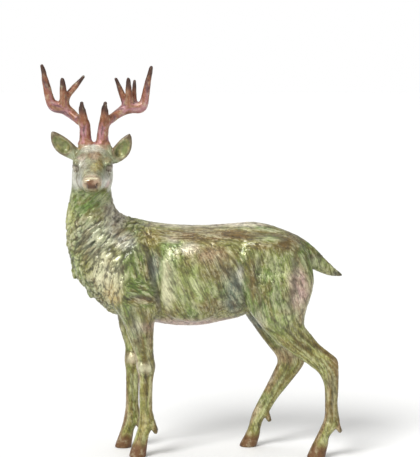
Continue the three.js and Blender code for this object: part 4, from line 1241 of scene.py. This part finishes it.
def antler_grain(points):
    """Fine ridges along the antlers."""
    grain = np.full(len(points), 0.5)
    high = points[:, 2] > ANTLERS[0]["beam"][0][2] - BURR["below"]
    places = antler_places(points[high]) / np.array([1, 1, ANTLER_GROOVE["drawn out"]])
    grain[high] = layered_noise(places, ANTLER_GROOVE["size"], ANTLER_GROOVE["seed"], 2)
    return grain


def linear(name):
    """One named colour, from the 0 to 255 scale of a screen to light."""
    c = np.array(COLOURS[name]) / 255
    return np.where(c <= 0.04045, c / 12.92, ((c + 0.055) / 1.055) ** 2.4)


def paint(colour, name, share):
    return colour + (linear(name) - colour) * share[:, None]


def patterns_on(points):
    """The areas and patterns that the coats of colour follow, by name."""
    x, y, z = points.T
    forward, side, up = to_head(x, y, z)
    shares = coat_shares(points)
    medium = layered_noise(points, *MEDIUM)
    streak = streaks(points, shares, *STREAK)
    other = streaks(points, shares, *OTHER)
    across, _, _ = leg_places(points)
    ear, hollow = ear_shares(points)
    grain = antler_grain(points)
    stems = [stem for antler in ANTLERS for stem in [antler["beam"], *antler["tines"]]]
    tips = edge("tine tip", nearest(points, [stem[-1] for stem in stems]))
    claws = [(heel + CLAW["tip"], middle, low) for heel, middle, low in map(claw_tip, LEGS)]
    nose = nose_share(points)
    ring = np.hypot((forward - WHORL["forward"]) / WHORL["long"], side - WHORL["side"])
    ring = ring + (medium - 0.5) * WHORL["rough"] - WHORL["radius"]
    whorl = np.exp(-((ring / WHORL["width"]) ** 2)) * edge("whorl above", up)
    return {
        "all": np.ones(len(points)),
        "height": z,
        "forward": forward,
        "side": side,
        "up": up,
        "medium": medium,
        "streak": streak,
        "other": other,
        "both streaks": streak * other,
        "hairs": layered_noise(points / np.array([1, 1, 3]), *HAIRS),
        "legs": edge("painted leg", z),
        "from the middle": np.abs(across - LEG_STREAK["middle"]) + (other - 0.5) * LEG_STREAK["rough"],
        "from the front": np.abs(across - LEG_STREAK["front"]) + (streak - 0.5) * LEG_STREAK["fine"],
        "head": head_share(points),
        "coat": 1 - bare_share(points),
        "ear": ear,
        "hollow": hollow,
        "from ear tips": nearest(points, [ear[-1] for ear in EARS]),
        "from ear roots": nearest(points, [ear[-5] for ear in EARS]),
        "antler": antler_share(points),
        "grain": grain,
        "tips": tips,
        "worn tips": tips + grain - 0.5,
        "from burrs": nearest(points, [antler["beam"][0] for antler in ANTLERS]),
        "from dewclaws": nearest(points, claws),
        "nose": nose,
        "left of the nose": nose * edge("left of the nose", side),
        "whorl": head_share(points) * whorl,
        "from eyes": eye_distance(points),
    }


def lay_coats(colour, layers, seen):
    for hue, strength, area, *where in layers:
        share = strength * seen[area]
        if where:
            pattern, start, end = where
            share = share * smoothstep(seen[pattern], start, end)
        colour = paint(colour, hue, share)
    return colour


def patina_and_painted_light(points):
    """The colour of every vertex, patch by patch, with broken and streaky edges: the patina, with painted
    highlights, a painted reflection and painted shade among its patches.
    """
    x, y, z = points.T
    seen = patterns_on(points)
    medium = seen["medium"] - 0.5
    broken = medium * BROKEN["medium"] + (seen["other"] - 0.5) * BROKEN["other"]
    colour = np.tile(linear("olive"), (len(points), 1))
    colour = paint(colour, "green", edge("green", layered_noise(points, *BROAD)))
    for px, pz, rx, rz, hue, strength in PATCHES.values():
        reach = np.hypot((x - px) / rx, (z - pz) / rz) + broken
        colour = paint(colour, hue, strength * edge("patch", reach))
    colour = lay_coats(colour, LEG_LAYERS, seen)
    for which, px, pz, rx, rz, hue, strength in SIDE_PATCHES.values():
        reach = np.hypot((x - px) / rx, (z - pz) / rz) + broken
        colour = paint(colour, hue, strength * edge("side patch", reach) * edge("one side", y * which))
    colour = lay_coats(colour, HEAD_LAYERS, seen)
    for middle, radii, hue, strength in HEAD_PATCHES.values():
        offsets = zip(("forward", "side", "up"), middle, radii)
        reach = np.sqrt(sum(((seen[way] - at) / radius) ** 2 for way, at, radius in offsets))
        share = edge("head patch", reach + medium * BROKEN["head"])
        colour = paint(colour, hue, seen["head"] * strength * share)
    return lay_coats(colour, LAYERS, seen)


def to_object(name, points, triangles):
    mesh = bpy.data.meshes.new(name)
    mesh.from_pydata(points.tolist(), [], triangles.tolist())
    mesh.update()
    made = bpy.data.objects.new(name, mesh)
    bpy.context.scene.collection.objects.link(made)
    return made


def thin(points, triangles):
    """Fewer triangles, where the surface is smooth."""
    rough = to_object("rough", points, triangles)
    modifier = rough.modifiers.new("thin", "DECIMATE")
    modifier.ratio = min(1.0, MOST_TRIANGLES / len(triangles))
    mesh = rough.evaluated_get(bpy.context.evaluated_depsgraph_get()).to_mesh()
    points = np.empty(len(mesh.vertices) * 3)
    mesh.vertices.foreach_get("co", points)
    corners = np.empty(len(mesh.loops), dtype=np.int32)
    mesh.loops.foreach_get("vertex_index", corners)
    bpy.data.objects.remove(rough)
    return points.reshape(-1, 3), corners.reshape(-1, 3)


def keep_values(mesh, name, values):
    """Stores one number or one colour for every vertex."""
    kind = "FLOAT" if values.ndim == 1 else "FLOAT_COLOR"
    kept = mesh.attributes.new(name, kind, "POINT")
    if kind == "FLOAT":
        kept.data.foreach_set("value", values.astype(np.float32))
    else:
        opaque = np.column_stack([values, np.ones(len(values))])
        kept.data.foreach_set("color", opaque.astype(np.float32).ravel())


def cast_form():
    """The skin of the whole figure, before its coat, with its feet cut flat at the ground."""
    field = Field()
    add_body(field)
    shape_feet(field)
    add_head(field)
    add_antlers(field)
    add_chest_locks(field)
    heights = LOW[2] + CELL * np.arange(field.counts[2])
    field.values = np.maximum(field.values, -heights[None, None, :].astype(np.float32))
    return largest_piece(*skin(field))


def dress(points, triangles):
    """Raises the relief. Returns the new places and the share of a tuft and line at each."""
    normals = vertex_normals(points, triangles)
    rise, share = comb(points, normals, np.random.default_rng(TUFT_SEED))
    lines = carve(points, normals)
    grooves = antler_share(points) * (antler_grain(points) - 0.5) * ANTLER_GROOVE["depth"]
    knees = KNEE["rise"] * knee_share(points)
    hair = hair_lines(points)
    strands = hair * mix(HAIR_DEPTH["body"], HAIR_DEPTH["mane"], lock_share(points))
    out = rise - TUFT["sunk"] * rise.mean() + lines + grooves + knees - strands
    raised = points + normals * out[:, None]
    raised[:, 2] = np.maximum(raised[:, 2], 0)
    return raised, share * (1 - HAIR_DEPTH["shade"] * hair), lines


def fitted(points):
    """The same places in metres, with their box in the middle of the solid's box."""
    low, high = (np.array(corner) / MM for corner in cad_box)
    shift = (low + high) / 2 - (points.min(axis=0) + points.max(axis=0)) / 2
    shift[2] = 0
    return np.clip(points + shift, low, high) * MM


def make_stag():
    points, triangles = cast_form()
    points, clumps = raise_clumps(points, vertex_normals(points, triangles))
    raised, share, lines = dress(points, triangles)
    thinned, triangles = thin(raised, triangles)
    tree = tree_of(raised)
    source = np.array([tree.find(point)[1] for point in thinned])
    place = points[source]
    coat = 1 - bare_share(place)
    throat = mix(1, THROAT_DEPTH, edge("plain throat", place[:, 2]))
    lacquer = mix(LACQUER["bare"], 1, coat) * mix(1, LACQUER["legs"], leg_share(place))
    eyes = edge("eyeball", eye_distance(place))
    stag = to_object("stag_bronze", fitted(thinned), triangles)
    mesh = stag.data
    mesh.polygons.foreach_set("use_smooth", np.ones(len(mesh.polygons), dtype=bool))
    keep_values(mesh, "patina_and_painted_light", patina_and_painted_light(place))
    keep_values(mesh, "tuft", (share * clumps)[source])
    keep_values(mesh, "depth", tuft_sizes(place)["depth"] * coat * throat)
    keep_values(mesh, "lacquer", LACQUER["most"] * lacquer)
    keep_values(mesh, "bare", 1 - coat)
    for name, values in coat_shares(place).items():
        keep_values(mesh, "lie_" + name, values * coat)
    keep_values(mesh, "line", lines[source])
    keep_values(mesh, "wet", np.maximum(nose_share(place), eyes))
    mesh.materials.append(bronze())
    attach(stag, "root")
    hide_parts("stag")


class Recipe:
    """A material built from nodes, with short ways to add and join them."""

    def __init__(self, name):
        self.material = bpy.data.materials.new(name)
        self.material.use_nodes = True
        self.nodes = self.material.node_tree.nodes
        self.links = self.material.node_tree.links
        self.shader = next(node for node in self.nodes if node.type == "BSDF_PRINCIPLED")

    def add(self, kind, inputs=None, **settings):
        node = self.nodes.new("ShaderNode" + kind)
        for name, value in settings.items():
            setattr(node, name, value)
        for name, value in (inputs or {}).items():
            self.put(node.inputs[name], value)
        return node

    def put(self, socket, value):
        if isinstance(value, bpy.types.NodeSocket):
            self.links.new(value, socket)
        else:
            socket.default_value = value

    def finish(self, name, value):
        self.put(self.shader.inputs[name], value)

    def value(self, name):
        return self.add("Attribute", attribute_name=name).outputs["Fac"]

    def math(self, operation, a, b=0.5):
        return self.add("Math", {0: a, 1: b}, operation=operation).outputs[0]

    def ramp(self, value, low, high, start=0.0, end=1.0):
        names = ["Value", "From Min", "From Max", "To Min", "To Max"]
        node = self.add("MapRange", dict(zip(names, [value, low, high, start, end])))
        return node.outputs["Result"]

    def noise(self, place, scale, detail=3.0, roughness=0.5):
        inputs = {"Vector": place, "Scale": scale, "Detail": detail, "Roughness": roughness}
        return self.add("TexNoise", inputs).outputs["Fac"]

    def blend(self, share, a, b, way="MIX"):
        node = self.add("Mix", data_type="RGBA", blend_type=way)
        factor, first, second = (node.inputs[k] for k in (0, 6, 7))
        self.put(factor, share)
        self.put(first, a)
        self.put(second, b)
        return node.outputs[2]


def strand_pattern(recipe, place):
    """Fine strands, drawn out along the lie of the coat."""
    total = recipe.math("MULTIPLY", recipe.value("bare"), BARE_STRAND)
    for name, direction in FLOWS.items():
        turn = Vector(direction).to_track_quat("Z", "Y").to_euler()
        along = recipe.add(
            "Mapping",
            {"Vector": place, "Rotation": turn, "Scale": STRAND_SIZE},
            vector_type="TEXTURE",
        )
        fine = recipe.noise(along.outputs["Vector"], 1.0, 1.0)
        part = recipe.math("MULTIPLY", fine, recipe.value("lie_" + name))
        total = recipe.math("ADD", total, part)
    return total


def bronze():
    """Old bronze: a blotched green and brown patina under lacquer, rubbed pale on high places and darker
    in the grooves, with painted highlights and painted shade there too.
    """
    recipe = Recipe("patinated_bronze")
    place = recipe.add("TexCoord").outputs["Object"]
    seen = {
        "blotch": recipe.noise(place, *BLOTCH),
        "speck": recipe.noise(place, *SPECK),
        "strands": strand_pattern(recipe, place),
        "tuft": recipe.value("tuft"),
        "line": recipe.value("line"),
    }
    colour = recipe.add("Attribute", attribute_name="patina_and_painted_light").outputs["Color"]
    # The marks, with painted shade in the grooves and painted highlights on the tips of the tufts and
    # carved lines.
    for name, start, end, strength, hue, way in MARKS_AND_PAINTED_LIGHT:
        share = recipe.ramp(seen[name], start, end, 0.0, strength)
        if name == "tuft":
            share = recipe.math("MULTIPLY", share, recipe.value("depth"))
        colour = recipe.blend(share, colour, (*linear(hue), 1.0), way)
    dull = recipe.ramp(seen["speck"], DULL["from"], DULL["to"], DULL["low"], DULL["high"])
    bare = recipe.ramp(recipe.value("bare"), 0.0, 1.0, 0.0, DULL["bare"])
    wet = recipe.ramp(recipe.value("wet"), 0.0, 1.0, 1.0, DULL["wet"])
    height = recipe.math("ADD", seen["strands"], recipe.math("MULTIPLY", seen["speck"], BUMP_SPECK))
    bump = recipe.add("Bump", {**BUMP, "Height": height})
    recipe.finish("Base Color", colour)
    recipe.finish("Roughness", recipe.math("MULTIPLY", recipe.math("ADD", dull, bare), wet))
    recipe.finish("Metallic", METALLIC)
    recipe.finish("Coat Weight", recipe.value("lacquer"))
    recipe.finish("Coat Roughness", COAT_ROUGHNESS)
    recipe.finish("Normal", bump.outputs["Normal"])
    return recipe.material


def make_floor():
    corners = [(x, y, 0.0) for x in (-FLOOR, FLOOR) for y in (-FLOOR, FLOOR)]
    floor = to_object("floor", np.array(corners), np.array([[0, 2, 3], [0, 3, 1]]))
    recipe = Recipe("pale_floor")
    recipe.finish("Base Color", FLOOR_COLOUR)
    recipe.finish("Roughness", FLOOR_ROUGHNESS)
    floor.data.materials.append(recipe.material)
    floor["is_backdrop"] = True


def place_object(name, data, at, towards):
    """Puts a lamp or the camera in the scene, turned the way it looks."""
    placed = bpy.data.objects.new(name, data)
    placed.location = at
    placed.rotation_euler = Vector(towards).to_track_quat("-Z", "Y").to_euler()
    bpy.context.scene.collection.objects.link(placed)
    return placed


def make_lights():
    """Broad, even light from all round a white room, and soft lamps far off."""
    world = bpy.data.worlds.new("studio")
    world.use_nodes = True
    tree = world.node_tree
    both = tree.nodes.new("ShaderNodeMixShader")
    seen = tree.nodes.new("ShaderNodeLightPath")
    tree.links.new(seen.outputs["Is Camera Ray"], both.inputs[0])
    for socket, strength in ((both.inputs[1], ROOM), (both.inputs[2], WALL)):
        glow = tree.nodes.new("ShaderNodeBackground")
        glow.inputs["Color"].default_value = (1.0, 1.0, 1.0, 1.0)
        glow.inputs["Strength"].default_value = strength
        tree.links.new(glow.outputs[0], socket)
    output = next(node for node in tree.nodes if node.type == "OUTPUT_WORLD")
    tree.links.new(both.outputs[0], output.inputs["Surface"])
    bpy.context.scene.world = world
    for name, towards, softness, power in LAMPS:
        light = bpy.data.lights.new(name, "SUN")
        light.energy = power
        light.angle = math.radians(softness)
        place_object(name, light, (0.0, 0.0, 0.0), towards)


def make_camera():
    camera = bpy.data.cameras.new("camera")
    camera.lens = LENS
    camera.sensor_width = SENSOR
    look = Vector(CAMERA_TO) - Vector(CAMERA_AT)
    bpy.context.scene.camera = place_object("camera", camera, CAMERA_AT, look)


bpy.context.scene.view_settings.view_transform = "Standard"
make_stag()
make_floor()
make_lights()
make_camera()
bpy.context.view_layer.update()
boxes = {"cad": cad_box, "model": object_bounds()}
{name: [list(corner) for corner in box] for name, box in boxes.items()}
